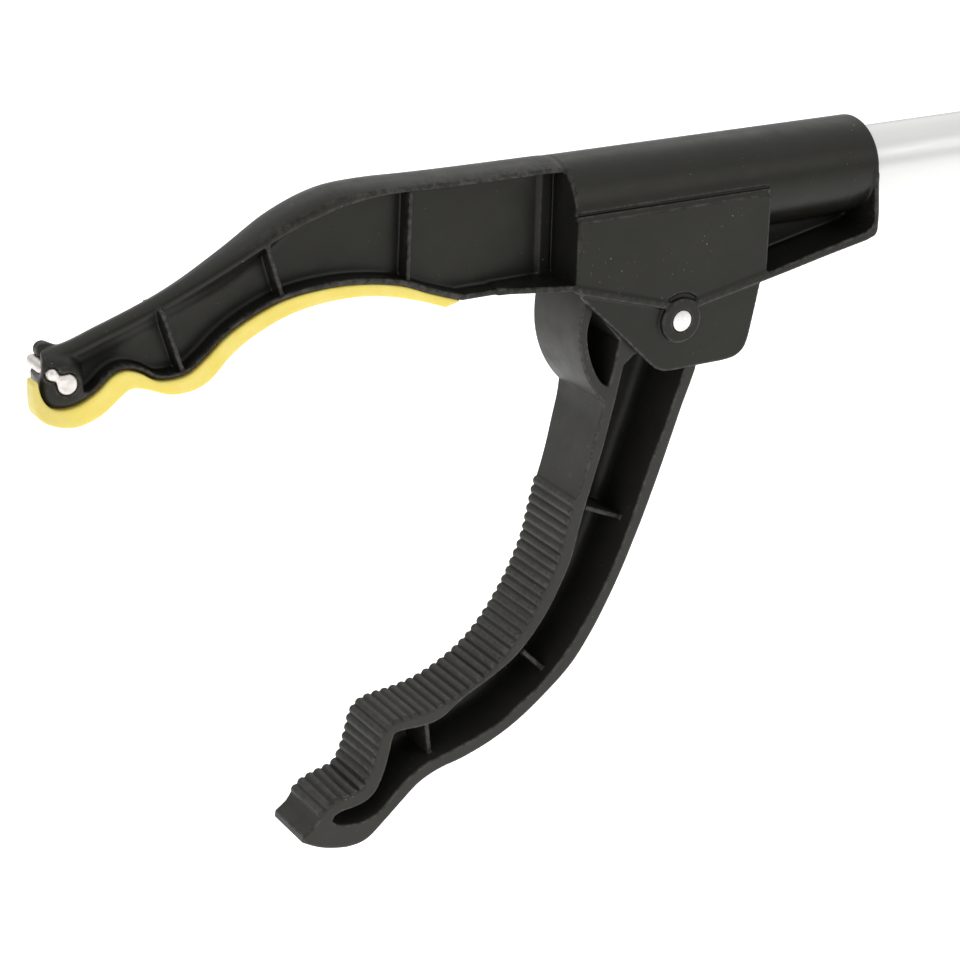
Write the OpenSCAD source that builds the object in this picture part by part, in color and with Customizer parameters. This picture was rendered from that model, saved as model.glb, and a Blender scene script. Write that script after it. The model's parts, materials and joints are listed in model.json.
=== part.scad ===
// Reacher grabber: a fixed upper jaw and a pivoting lower jaw on an aluminium tube,
// worked by a pull rod from a squeeze trigger in a pistol-grip handle.
// Frame: +X runs from the jaws to the handle's butt, +Z is up, the jaw plane is XZ.
// The origin is the centre of the hand grip. Lengths are in millimetres.

/* [Overall] */
// Distance from the jaw pivot to the grip's centre
reach = 628; // [420:1:900]
// Height of the tube's axis above the grip's centre
tube_z = 50; // [46:1:54]

/* [Tube and rod] */
// Outer radius of the tube
tube_r = 8; // [7.6:0.1:8.4]
// Wall thickness of the tube
tube_wall = 1; // [0.8:0.1:1.4]
// Radius of the pull rod
rod_r = 2; // [1.5:0.1:2.4]

/* [Jaws] */
// Depth of the jaw pivot below the tube's axis
pivot_drop = 26.8; // [26:0.1:27.5]
// Angle through which the lower jaw closes
jaw_swing = 48; // [40:1:48]
// Half width of the fixed jaw's arm
arm_half = 6; // [5:0.1:7]
// Half width of the linkage housing
housing_half = 12; // [11.8:0.1:12.6]
// Radius of the jaw pivot pin
pivot_pin_r = 2.5; // [2:0.1:2.8]
// Half width of the moving jaw's hub
hub_half = 9.15; // [8.8:0.05:9.2]
// Thickness of the webs between the jaws' flanges
web = 2.4; // [1.6:0.2:3]
// Pitch of the gripping ribs
rib_pitch = 2.2; // [1.6:0.1:2.6]

/* [Handle] */
// Length of the trigger's lever, from its pivot to the rod's axis
lever = 85; // [84:1:86]
// Half width of the handle
grip_half = 13; // [12.5:0.1:15]
// Wall thickness of the handle's shells
shell_wall = 2.2; // [1.8:0.1:2.6]
// Radius of the hanging hole
hang_r = 4; // [3:0.1:4.5]

/* [Hidden] */
$fn = 64;

// Running clearance of a pin in its bore
run = 0.05;
// Clearance between faces that slide past each other
gap = 0.2;
// Radius of the two clevis pins
clevis_pin_r = 1.5;
// The pull rod's travel: the horn swings equally to both sides of upright
rod_travel = 2 * pivot_drop * tan(jaw_swing / 2);
// Angle of the trigger's lever before and after upright
lever_tilt = atan(rod_travel / 2 / lever);
// How far the horn's slot must be wider than its pin, because the rod moves in proportion
slot_play = 0.34;

// Places along X and Z of the mechanism's axes at rest, with the jaws open
jaw_x = -reach;
jaw_z = tube_z - pivot_drop;
trigger_x = -37;
trigger_z = tube_z - lever;
horn_pin_x = jaw_x - rod_travel / 2;
lever_pin_x = trigger_x - rod_travel / 2;

// The ends of the tube, and what it holds
tube_front = jaw_x + 22;
tube_rear = -84;
// Clear of the front clevis when the jaws are closed
front_guide_x = tube_front + 14;
collar_x = -182;
collar_len = 5;
collar_r = 5.6;
rear_guide_x = -122;
guide_len = 10;

// Outlines of the head, in X and Z from the jaw pivot.
// Crown of the fixed jaw, from the housing forward to the nose
CROWN = [[-26, 38.9], [-50, 38.9], [-72, 38.9], [-84, 38], [-94.5, 35.1], [-105, 29.7],
         [-115, 24.4], [-125, 19.9], [-135.5, 16.2], [-143, 13.9], [-147.4, 13.6]];
// Underside of the fixed jaw, from the nose back to the end of the pad
UNDER = [[-148.6, 10.6], [-149, 6.5], [-148.6, 4], [-147, 2], [-144.7, 1.4], [-141.2, 1.9],
         [-137.4, 3.8], [-134.2, 6.4], [-131.2, 7.3], [-128, 6.3], [-124.6, 4.2], [-121, 3.7],
         [-117.1, 4.4], [-113.1, 7.2], [-109, 10.7], [-103, 14.1], [-95, 17], [-86, 18.1],
         [-77, 17.8], [-68, 16.1], [-60.5, 13.2], [-53, 10.6]];
// Working face of the grip pad under the fixed jaw, from the nose to its tail
PAD_FACE = [[-150.6, 9.8], [-151.6, 6.6], [-151.4, 3.2], [-149.8, 0], [-146.2, -2.1],
            [-141.8, -2.7], [-136.8, -1.1], [-132.6, 2], [-130, 3.4], [-126.6, 2.6],
            [-121.5, 0.7], [-116.4, 0.8], [-112.4, 2.6], [-108, 6.8], [-102.5, 10.4],
            [-94, 13.8], [-84, 15.2], [-74, 14.7], [-64, 12.2], [-57, 9.6]];
// Gripping face of the moving jaw, from the drum down to the lip
GRIP_FACE = [[-17.9, -17.6], [-18.5, -21.5], [-19.8, -26.5], [-21.1, -31.8], [-22.6, -37],
             [-24.4, -42.3], [-25.9, -48], [-27.4, -54], [-29.7, -59.4], [-32.8, -65.2],
             [-36.9, -71.2], [-42, -76.8], [-48, -81], [-54.6, -84], [-61, -85.5],
             [-68.5, -86.2], [-71.4, -87.2], [-73.2, -89.4], [-74.3, -93.4], [-75.9, -98],
             [-77.8, -100.9], [-80.4, -101.8], [-83.5, -102.5], [-86.3, -103.6],
             [-88.4, -105.5], [-90, -107.6], [-92.7, -109.5]];
// Back of the moving jaw, from the lip up to the hub
BACK_FACE = [[-92.9, -111], [-88.8, -113.3], [-84.6, -114.7], [-80.4, -115.3],
             [-76.2, -114.5], [-71.7, -110.9], [-67.2, -106.9], [-62.8, -103.3],
             [-57.6, -101.1], [-51.4, -99.8], [-44, -97.3], [-36.7, -93.6], [-29.3, -88.2],
             [-22.7, -82.3], [-17.7, -75.4], [-13.4, -67.8], [-10, -60.9], [-7.1, -54],
             [-4.6, -47.8], [-1.7, -39.7], [1.3, -30.5], [4.3, -21], [6.9, -13.8]];
// Side pocket of the moving jaw's arm, open to -Y, from its top round the tip end and back
POCKET_FRONT = [[-12.9, -9.5], [-14.4, -16], [-15.8, -22.5], [-17, -28], [-18.9, -35],
                [-20.7, -41.5], [-22.3, -47.5], [-23.8, -54], [-26.2, -60], [-29.3, -66],
                [-33.4, -71.8], [-38.5, -77], [-45, -80.9], [-52, -84.4], [-57.4, -87.9],
                [-62, -88.8], [-68.7, -88.7], [-70.1, -90], [-70.9, -93.6], [-72.2, -98.2],
                [-74.1, -102.3], [-76.4, -104.3], [-79.4, -105.2], [-82.6, -105.5],
                [-84.7, -106.2]];
POCKET_BACK = [[-85.3, -107.4], [-83.9, -108.6], [-81.4, -109.4], [-78.4, -109.6],
               [-75.4, -109], [-72.4, -107.4], [-68.6, -103.7], [-65, -100.8], [-61, -98.7],
               [-55.4, -97.3], [-49.9, -95.8], [-45, -94.2], [-40.6, -92.2], [-35.3, -88.5],
               [-30.6, -85.2], [-26.4, -81], [-21.9, -75.5], [-18.2, -69.8], [-15.2, -65],
               [-12.5, -59.3], [-10.2, -54], [-8.4, -49], [-6.1, -42.2], [-3.8, -35.2],
               [-1.1, -28], [1, -21.6], [3, -15.5], [4, -11], [3, -8], [-10, -7.3]];
// Lens-shaped pocket between the drum's rim and the arm
LENS = [[-21.6, 5], [-22.9, 0], [-22.3, -5], [-20.4, -10], [-17.9, -13.3], [-16.4, -12.6],
        [-14.4, -3.4]];
// Cross ribs in that pocket: the places of their feet and tops
JAW_RIBS = [[[-18.4, -44.9], [-7, -49.9]], [[-34.1, -77.8], [-25.8, -86.4]],
            [[-59.8, -88.5], [-58.3, -101.6]]];
jaw_rib_y = -4.6;
// The pocket's floor, on the far side of the middle plane
pocket_floor = 5.8;
drum_r = 25.2;
hub_r = 9;

// A point between b and c on the smooth curve through a, b, c and d
function between(a, b, c, d, t) =
    0.5 * (2 * b + (c - a) * t + (2 * a - 5 * b + 4 * c - d) * t * t
           + (3 * b - a - 3 * c + d) * t * t * t);

// The smooth curve through the points p, with n steps from each to the next
function smooth(p, n = 4) = let (last = len(p) - 1) concat(
    [for (i = [0:last - 1], k = [0:n - 1])
        between(p[max(i - 1, 0)], p[i], p[i + 1], p[min(i + 2, last)], k / n)],
    [p[last]]);

// Points on an arc about c from angle a0 to a1, measured from +X towards +Z
function arc(c, r, a0, a1, n = 12) =
    [for (i = [0:n]) let (a = a0 + (a1 - a0) * i / n) c + r * [cos(a), sin(a)]];

function unit(v) = v / norm(v);
// Normal to the left of the curve p at its point i
function normal_at(p, i) = let (last = len(p) - 1,
                                d = unit(p[min(i + 1, last)] - p[max(i - 1, 0)]))
    [-d[1], d[0]];
// The curve p moved sideways by d
function beside(p, d) = [for (i = [0:len(p) - 1]) p[i] + d * normal_at(p, i)];
// Length of the curve p up to its point i
function run_length(p, i) = i == 0 ? 0 : run_length(p, i - 1) + norm(p[i] - p[i - 1]);
// The point on the curve p at the distance s from its start, and how far along a span that is
function at_length(p, s, i = 1) = let (d = norm(p[i] - p[i - 1]))
    (s <= d || i == len(p) - 1) ? p[i - 1] + (p[i] - p[i - 1]) * min(s / d, 1)
                                : at_length(p, s - d, i + 1);
function reversed(p) = [for (i = [len(p) - 1:-1:0]) p[i]];

crown = smooth(CROWN);
under = smooth(UNDER);
pad_face = smooth(PAD_FACE);
grip_face = smooth(GRIP_FACE);
back_face = smooth(BACK_FACE);
// The ribs' tops stand this far proud of the gripping face
rib_height = 0.9;
rib_start = 25.6;
// The lip's smooth stretch after the last rib
lip_length = 5.6;
rib_end = run_length(grip_face, len(grip_face) - 1) - lip_length;
rib_steps = 6;
// The gripping face with a row of half-round ribs from rib_start to rib_end
ribbed_face = let (count = floor((rib_end - rib_start) / rib_pitch), step = rib_pitch / rib_steps)
    concat([for (s = [0:2:rib_start - 1]) at_length(grip_face, s)],
           [for (k = [0:count * rib_steps])
               let (s = rib_start + k * step,
                    p = at_length(grip_face, s),
                    n = unit(at_length(grip_face, s + 0.6) - at_length(grip_face, s - 0.6)))
               p + rib_height * abs(sin(180 * k / rib_steps)) * [n[1], -n[0]]],
           [for (s = [rib_end + 1:2:rib_end + lip_length - 1]) at_length(grip_face, s)],
           [GRIP_FACE[len(GRIP_FACE) - 1]]);

// Solids drawn from outlines in the XZ plane, from y0 to y1
module slab(points, y0, y1) {
    translate([0, y1, 0]) rotate([90, 0, 0]) linear_extrude(y1 - y0) polygon(points);
}

module slab_2d(y0, y1) {
    translate([0, y1, 0]) rotate([90, 0, 0]) linear_extrude(y1 - y0) children();
}

module plate(points, half) {
    slab(points, -half, half);
}

// A cylinder along Y
module pin(x, z, r, y0, y1) {
    translate([x, y1, z]) rotate([90, 0, 0]) cylinder(r = r, h = y1 - y0);
}

// A cylinder or cone along X
module barrel(x0, x1, z, r0, r1) {
    translate([x0, 0, z]) rotate([0, 90, 0]) cylinder(r1 = r0, r2 = r1, h = x1 - x0);
}

module block(x0, x1, y0, y1, z0, z1) {
    translate([x0, y0, z0]) cube([x1 - x0, y1 - y0, z1 - z0]);
}

module at_jaw() {
    translate([jaw_x, 0, jaw_z]) children();
}

// ---- Head ----

// The magnet and the wire pin in the fixed jaw's tip
magnet_x = -144;
magnet_z = 6.8;
magnet_r = 2.2;
magnet_half = arm_half - 0.2;
wire_x = -147.1;
wire_z = 9.3;
wire_r = 1.15;
wire_free_end = 1.6;

// Housing side: the panel over the linkage, and the cheek that carries the pivot
CHEEK = [[-25.6, 9.2], [-24.9, 7.4], [-7.2, -10.2], [-4.6, -11.6], [-1, -12.1], [14.8, -12],
         [17.5, -10.9], [18.9, -8.9], [22.6, 7.2], [22.6, 12], [-25.6, 14]];
// The rim along the housing's lower edge, and the flange in line with it
RIM = [[-28, 10.2], [-4, 3.2], [4.5, 2.6], [52.5, 11.9], [55, 14.4], [55, 16.4], [52, 13.4],
       [4.5, 4.1], [-4, 4.7], [-28, 11.7]];
RIM_T = 1.4;
flange_z = 10.6;
housing_x0 = -28;
housing_x1 = 23.4;
socket_x1 = 55;
housing_r = 12.3;
socket_r = 11.4;
panel_top = 25.6;
cheek_half = 11.6;
plate_x = 53.4;
pivot_boss_r = 5.2;
pivot_boss_half = 13;
cavity_x0 = -26.2;
cavity_x1 = 20.6;
cavity_r = 9.8;

module housing() {
    barrel(housing_x0, socket_x1, pivot_drop, housing_r, socket_r);
    plate([[housing_x0, 10.8], [-4, 3.9], [4.5, 3.3], [housing_x1, 6.9], [housing_x1, panel_top],
           [housing_x0, panel_top]], housing_half);
    plate(CHEEK, cheek_half);
    plate(RIM, housing_half + 0.5);
    // The web and the end plate under the socket
    plate([[housing_x1 - 1, 6], [socket_x1 - 1, 12.6], [socket_x1 - 1, 22], [housing_x1 - 1, 22]],
          web / 2);
    plate([[plate_x, 12.8], [socket_x1, 14.8], [socket_x1, 25], [plate_x, 25]], socket_r - 0.5);
    pin(0, 0, pivot_boss_r, -pivot_boss_half, pivot_boss_half);
}

// The room for the moving jaw's hub and the linkage, open underneath
module housing_cavity() {
    inner = hub_half + gap;
    block(cavity_x0, cavity_x1, -inner, inner, -20, pivot_drop);
    block(cavity_x1 - 1, housing_x1 + 1, -inner, inner, -20, 5);
    barrel(cavity_x0, cavity_x1, pivot_drop, cavity_r, cavity_r);
    barrel(cavity_x1 - 1, socket_x1 + 1, pivot_drop, tube_r, tube_r);
    pin(0, 0, pivot_pin_r, -20, 20);
}

// Where the fixed jaw's side pockets lie, between its flanges
pocket_top = beside(smooth([for (i = [0:8]) CROWN[i]]), 2.9);
pocket_low = beside(smooth([for (i = [8:21]) UNDER[i]]), RIM_T);
POCKET_END = [[-139.6, 11.6], [-140.2, 9], [-139, 6.8], [-136.6, 6.9]];
pocket = concat([[-26, 36]], pocket_top, POCKET_END, pocket_low, [[-46, 12], [-26, 12]]);

// Cross ribs of the fixed jaw: the places of their feet and tops
ARM_RIBS = [[[-118.4, 4.9], [-122.8, 18.8]], [[-95.6, 17.6], [-99.4, 30.6]],
            [[-67, 16.4], [-67, 36.8]]];
arm_rib_half = arm_half - 0.7;

module strip(a, b, t, y0, y1) {
    d = unit(b - a) * t / 2;
    n = [-d[1], d[0]];
    slab([a - n, b - n, b + n, a + n], y0, y1);
}

module arm() {
    difference() {
        plate(concat(beside(crown, 1.5), under, [[-26, flange_z]]), arm_half);
        slab(pocket, -arm_half - 1, -web / 2);
        slab(pocket, web / 2, arm_half + 1);
    }
    // The raised crown along the middle of its top
    plate(concat(crown, reversed(beside(crown, 2.2))), arm_half / 2);
    for (r = ARM_RIBS) strip(r[0], r[1], 1.3, -arm_rib_half, arm_rib_half);
    // The lower flange widens from the arm to the housing
    translate([0, 0, flange_z]) linear_extrude(RIM_T)
        polygon([[-44, -arm_half], [-27, -housing_half - 0.2], [-27, housing_half + 0.2],
                 [-44, arm_half]]);
}

module fixed_jaw() color([0.13, 0.13, 0.125]) at_jaw() difference() {
    union() {
        arm();
        housing();
    }
    housing_cavity();
    pin(magnet_x, magnet_z, magnet_r, -10, 10);
    pin(wire_x, wire_z, wire_r, -10, 10);
}

// The pad starts below the wire's end: a step of the curves after their first points
pad_start = 4;

module upper_grip_pad() color([0.93, 0.9, 0.42]) at_jaw()
    plate(concat([for (i = [len(under) - 1:-1:pad_start]) under[i]],
                 [for (i = [pad_start:len(pad_face) - 1]) pad_face[i]]), arm_half);

module tip_magnet() color([0.8, 0.78, 0.74]) at_jaw()
    pin(magnet_x, magnet_z, magnet_r, -magnet_half, magnet_half);

module tip_wire_pin() color([0.8, 0.78, 0.74]) at_jaw()
    pin(wire_x, wire_z, wire_r, -magnet_half, arm_half + wire_free_end);

pivot_pin_half = 13.1;
neck_r = pivot_pin_r - 0.3;

module jaw_pivot_pin() color([0.85, 0.85, 0.84]) at_jaw() union() {
    pin(0, 0, pivot_pin_r, -pivot_pin_half, pivot_pin_half);
    pin(0, 0, neck_r, pivot_pin_half, pivot_pin_half + 1.7);
}

module pivot_push_nut() color([0.6, 0.6, 0.6]) at_jaw() difference() {
    union() {
        pin(0, 0, 4.6, pivot_pin_half, pivot_pin_half + 0.6);
        pin(0, 0, 3.2, pivot_pin_half, pivot_pin_half + 1.2);
    }
    pin(0, 0, neck_r, 12, 16);
}

// ---- Moving jaw ----

// Half width of the moving jaw at its hub, first rib, bump and tip, by height
JAW_WIDTHS = [[hub_half, 40], [hub_half, -17], [8.35, -43], [8.05, -85], [7.35, -116]];

module jaw_taper() {
    half = JAW_WIDTHS;
    rotate([90, 0, 90]) translate([0, 0, -130]) linear_extrude(180)
        polygon(concat(half, [for (i = [len(half) - 1:-1:0]) [-half[i][0], half[i][1]]]));
}

horn_half = 3;
horn_tilt = jaw_swing / 2;
// Outer radius of the two bushes on the jaw pivot pin
bush_r = 3.5;

// A slot for a pin that moves between two distances from the origin, along +Z
module pin_slot(low, high, r, half) {
    pin(0, low, r, -half, half);
    pin(0, high, r, -half, half);
    block(-r, r, -half, half, low, high);
}

module horn() {
    reach_up = pivot_drop / cos(horn_tilt);
    rotate([0, -horn_tilt, 0]) difference() {
        union() {
            plate([[-7.5, 0], [-4.4, 20], [-4.4, reach_up], [4.4, reach_up], [4.4, 20],
                   [7.5, 0]], horn_half);
            pin(0, reach_up, 4.4, -horn_half, horn_half);
        }
        pin_slot(pivot_drop - 0.3, reach_up + 0.3, clevis_pin_r + slot_play, 10);
    }
}

module moving_jaw() color([0.2, 0.2, 0.2]) at_jaw() difference() {
    union() {
        intersection() {
            difference() {
                plate(concat(ribbed_face, back_face, [[8.6, -5]],
                             arc([0, 0], hub_r, -12, 70, 6), [[-4, 8]],
                             arc([0, 0], drum_r, 157, 224.3, 20)), hub_half);
                slab(concat(smooth(POCKET_FRONT), smooth(POCKET_BACK)), -12, pocket_floor);
                slab(smooth(LENS), -12, pocket_floor);
            }
            jaw_taper();
        }
        for (r = JAW_RIBS) strip(r[0], r[1], 1.1, jaw_rib_y, pocket_floor + 0.3);
        horn();
    }
    pin(0, 0, bush_r, -20, 20);
}

module jaw_bushes() color([0.78, 0.62, 0.3]) at_jaw()
    for (y = [[-hub_half, -1], [1, hub_half]]) difference() {
        pin(0, 0, bush_r, y[0], y[1]);
        pin(0, 0, pivot_pin_r + run, -20, 20);
    }

// ---- Linkage and tube ----

module shaft_tube() color([0.82, 0.82, 0.82]) difference() {
    barrel(tube_front, tube_rear, tube_z, tube_r, tube_r);
    barrel(tube_front - 1, tube_rear + 1, tube_z, tube_r - tube_wall, tube_r - tube_wall);
    pin(lock_x, lock_z, lock_r, -20, 20);
}

module rod_guide(x) {
    outer = tube_r - tube_wall - run;
    difference() {
        barrel(x, x + guide_len, tube_z, outer, outer);
        barrel(x - 1, x + guide_len + 1, tube_z, rod_r + run, rod_r + run);
    }
}

module front_rod_guide() color([0.9, 0.9, 0.88]) rod_guide(front_guide_x);

module rear_rod_guide() color([0.9, 0.9, 0.88]) rod_guide(rear_guide_x);

module pull_rod() color([0.75, 0.75, 0.77])
    barrel(horn_pin_x + shank_start, lever_pin_x - shank_start, tube_z, rod_r, rod_r);

clevis_r = 4.2;
clevis_ear = 2.2;
ear_length = 9;
shank_start = 10;
shank_end = 20;
// The clevis pins' ends, either side of the fork
pin_head_y = -6.6;
pin_end_y = 7.2;

// A fork whose two ears hold a pin at x, and whose shank holds the rod's end on the side dir
module clevis(x, dir) {
    ear_y0 = horn_half + gap;
    ear_y1 = ear_y0 + clevis_ear;
    translate([x, 0, 0]) rotate([0, 0, dir > 0 ? 0 : 180]) difference() {
        union() {
            for (y = [-ear_y1, ear_y0]) {
                pin(0, tube_z, clevis_r, y, y + clevis_ear);
                block(0, ear_length, y, y + clevis_ear, tube_z - clevis_r, tube_z + clevis_r);
            }
            block(ear_length - 1, shank_start + 1, -ear_y1, ear_y1, tube_z - clevis_r,
                  tube_z + clevis_r);
            barrel(shank_start, shank_end, tube_z, clevis_r, clevis_r);
        }
        pin(0, tube_z, clevis_pin_r, -10, 10);
        barrel(shank_start, shank_end + 1, tube_z, rod_r, rod_r);
    }
}

module clevis_pin(x) {
    pin(x, tube_z, clevis_pin_r, pin_head_y, pin_end_y);
    pin(x, tube_z, clevis_pin_r + 1, pin_head_y, pin_head_y + 1);
}

module front_clevis() color([0.25, 0.25, 0.26]) clevis(horn_pin_x, 1);

module front_clevis_pin() color([0.8, 0.8, 0.8]) clevis_pin(horn_pin_x);

module rear_clevis() color([0.25, 0.25, 0.26]) clevis(lever_pin_x, -1);

module rear_clevis_pin() color([0.8, 0.8, 0.8]) clevis_pin(lever_pin_x);

module clevis_clips() color([0.55, 0.55, 0.56])
    for (x = [horn_pin_x, lever_pin_x]) difference() {
        pin(x, tube_z, 3, 5.7, 6.3);
        pin(x, tube_z, clevis_pin_r, 4, 8);
    }

module spring_collar() color([0.7, 0.7, 0.72]) difference() {
    barrel(collar_x, collar_x + collar_len, tube_z, collar_r, collar_r);
    barrel(collar_x - 1, collar_x + collar_len + 1, tube_z, rod_r, rod_r);
}

// A compression spring between the collar and the rear guide
spring_r = 4.6;
spring_wire_r = 0.6;
spring_turns = 15;
spring_sides = 6;
turn_steps = 14;

module return_spring() {
    x0 = collar_x + collar_len + spring_wire_r;
    length = rear_guide_x - collar_x - collar_len - 2 * spring_wire_r;
    steps = spring_turns * turn_steps;
    points = [for (i = [0:steps], k = [0:spring_sides - 1])
        let (a = 360 * i / turn_steps, b = 360 * k / spring_sides,
             r = spring_r + spring_wire_r * cos(b))
        [x0 + length * i / steps + spring_wire_r * sin(b), r * cos(a), tube_z + r * sin(a)]];
    sides = [for (i = [0:steps - 1], k = [0:spring_sides - 1])
        let (m = (k + 1) % spring_sides)
        [i * spring_sides + k, i * spring_sides + m, (i + 1) * spring_sides + m,
         (i + 1) * spring_sides + k]];
    color([0.7, 0.7, 0.72])
        polyhedron(points, concat(sides, [[for (k = [spring_sides - 1:-1:0]) k]],
                                  [[for (k = [0:spring_sides - 1]) steps * spring_sides + k]]));
}

// ---- Handle ----

// Side outline of the handle's shells, clockwise from the front of the barrel's top
SHELL = [[-110, 62.4], [-98, 63.6], [-76, 66.4], [-40, 68], [-5, 67.8], [14, 66], [26, 62],
         [35, 57], [37.5, 53.4], [34, 50.4], [26, 46], [20.4, 39], [17.6, 28], [17, 14],
         [17, 0], [15.5, -14], [12.5, -28], [8.5, -42], [4.4, -52], [-2, -57.5], [-14, -58.6],
         [-28, -54.5], [-42, -48.8], [-47.8, -42], [-48, -33], [-44.4, -26.6], [-37, -24],
         [-28, -23.4], [-23, -19.6], [-19.6, -11], [-17, 0], [-15.4, 12], [-15, 22],
         [-16.4, 29.4], [-20, 33], [-38, 33.4], [-58, 33.6], [-74, 34.8], [-92, 36.6],
         [-110, 37.6]];
shell_outline = smooth(SHELL, 3);

// Screws that hold the two shells together: their places in X and Z
SCREWS = [[-74, 61.4], [10, 58.5], [1, 19], [-3, -24]];
screw_r = 1.5;
screw_head_r = 2.9;
screw_head_h = 2.2;
boss_r = 3.6;
// The hanging hole through the butt of the grip
hang_x = -3;
hang_z = -45;
hang_boss_r = hang_r + 2.6;
// The pin that locks the tube in the handle, above the rod
lock_x = -98;
lock_z = tube_z + 5.4;
lock_r = 1.5;
lever_half = 7;
trigger_pin_r = 2;

module shell_bosses() {
    for (s = SCREWS) translate([s[0], s[1]]) circle(boss_r);
    translate([hang_x, hang_z]) circle(hang_boss_r);
}

// Everything taken out of both shells
module shell_cuts() {
    side = lever_half + gap;
    barrel(-112, tube_rear, tube_z, tube_r, tube_r);
    // The way of the trigger's lever: through the barrel's underside, and into its pivot lobe
    block(-56, -18, -(horn_half + 1), horn_half + 1, 26, 40);
    block(-50, -27.6, -side, side, -40, -20);
    pin(trigger_x, trigger_z, 8.2, -side, side);
    pin(hang_x, hang_z, hang_r, -20, 20);
    pin(trigger_x, trigger_z, trigger_pin_r, -20, 20);
    pin(lock_x, lock_z, lock_r, -20, 20);
}

// One shell, on the side s of the middle plane
module shell(s) {
    lo = min(0, s * grip_half);
    hi = max(0, s * grip_half);
    floor_lo = min(0, s * (grip_half - shell_wall));
    floor_hi = max(0, s * (grip_half - shell_wall));
    difference() {
        union() {
            difference() {
                slab(shell_outline, lo, hi);
                slab_2d(floor_lo, floor_hi) offset(delta = -shell_wall) polygon(shell_outline);
            }
            slab_2d(lo, hi) shell_bosses();
            // The collar round the tube, and the rib that stops the tube's end
            intersection() {
                slab(shell_outline, lo, hi);
                union() {
                    block(-110, -84, lo, hi, 36, 64);
                    block(-84, -81.6, lo, hi, 36, tube_z - 5.4);
                    block(-84, -81.6, lo, hi, tube_z + 5.4, 66);
                }
            }
            // The seat of the trigger's pin
            pin(trigger_x, trigger_z, 6, min(s * (lever_half + gap), s * grip_half),
                max(s * (lever_half + gap), s * grip_half));
        }
        shell_cuts();
        for (p = SCREWS) {
            if (s < 0) {
                pin(p[0], p[1], screw_r + 0.2, -20, 1);
                pin(p[0], p[1], screw_head_r + 0.3, -20, -grip_half + 3);
            } else {
                pin(p[0], p[1], screw_r, -1, 10);
            }
        }
    }
}

module handle_left_shell() color([0.13, 0.13, 0.125]) shell(-1);

module handle_right_shell() color([0.13, 0.13, 0.125]) shell(1);

module shell_screws() color([0.7, 0.7, 0.7])
    for (p = SCREWS) difference() {
        union() {
            pin(p[0], p[1], screw_r, -grip_half + 3, 9);
            pin(p[0], p[1], screw_head_r, -grip_half + 3 - screw_head_h, -grip_half + 3);
        }
        // Cross recess
        block(p[0] - 1.7, p[0] + 1.7, -grip_half, -grip_half + 1.9, p[1] - 0.35, p[1] + 0.35);
        block(p[0] - 0.35, p[0] + 0.35, -grip_half, -grip_half + 1.9, p[1] - 1.7, p[1] + 1.7);
    }

module tube_lock_pin() color([0.75, 0.75, 0.76])
    pin(lock_x, lock_z, lock_r, -grip_half + 0.6, grip_half - 0.6);

// The soft pad on the back of the grip, over this stretch of the shells' outline
palm_back = [for (i = [27:51]) shell_outline[i]];
PALM_FACE = [[10.4, -42.6], [15.2, -28.4], [18.3, -14], [20, 0], [20, 14], [20.8, 27.4],
             [23.4, 37.4], [28.6, 44], [34.2, 48.2]];
palm_half = 9.5;

module palm_pad() color([0.93, 0.9, 0.42])
    plate(concat(palm_back, smooth(PALM_FACE, 3)), palm_half);

module trigger_pin() color([0.8, 0.8, 0.8]) union() {
    pin(trigger_x, trigger_z, trigger_pin_r, -grip_half - 0.5, grip_half);
    pin(trigger_x, trigger_z, 3.6, -grip_half - 1, -grip_half);
}

// Trigger outlines, from its pivot, with the lever upright
LEVER_FRONT = [[-7, 1], [-8.6, 9], [-9.1, 15], [-9.2, 20], [-8.4, 32], [-8.8, 44],
               [-11.4, 54], [-14.6, 60]];
LEVER_BACK = [[6.4, 58], [6.4, 44], [6, 30], [6, 16], [7, 1]];
LEVER_PAD = [[-16.8, 59.4], [-14, 52.6], [-11.6, 44.4], [-11, 38], [-11.4, 31], [-12, 22],
             [-11.4, 16.6]];
lever_front = smooth(LEVER_FRONT);
pad_back = [for (i = [8:len(lever_front) - 1]) lever_front[i]];
lever_r = lever / cos(lever_tilt);
lever_pocket = [[-4.6, 12], [-5.6, 22], [-5.2, 32], [-5.4, 44], [-7, 54], [3.4, 54], [3.4, 44],
                [3, 30], [3, 16], [2, 12]];
trigger_bush_r = 3.2;
eye_r = 4.6;

module at_lever() {
    translate([trigger_x, 0, trigger_z]) rotate([0, -lever_tilt, 0]) children();
}

module trigger_lever() color([0.13, 0.13, 0.125]) at_lever() difference() {
    union() {
        plate(concat(lever_front, [[-12.4, 62.6], [-5, 64], [4.6, 63]],
                     smooth(LEVER_BACK), arc([0, 0], 7, 0, -180, 14)), lever_half);
        plate([[-eye_r, 60], [-eye_r, lever], [eye_r, lever], [eye_r, 60]], horn_half);
        pin(0, lever_r, eye_r, -horn_half, horn_half);
    }
    for (y = [[-10, -web / 2], [web / 2, 10]])
        slab(lever_pocket, y[0], y[1]);
    pin(0, 0, trigger_bush_r, -10, 10);
    pin_slot(lever - 0.25, lever_r + 0.25, clevis_pin_r + 0.1, 10);
}

module trigger_bush() color([0.9, 0.9, 0.88]) at_lever() difference() {
    pin(0, 0, trigger_bush_r, -lever_half, lever_half);
    pin(0, 0, trigger_pin_r + run, -10, 10);
}

module trigger_pad() color([0.93, 0.9, 0.42]) at_lever()
    plate(concat(pad_back, smooth(LEVER_PAD)), lever_half + 0.6);

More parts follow.
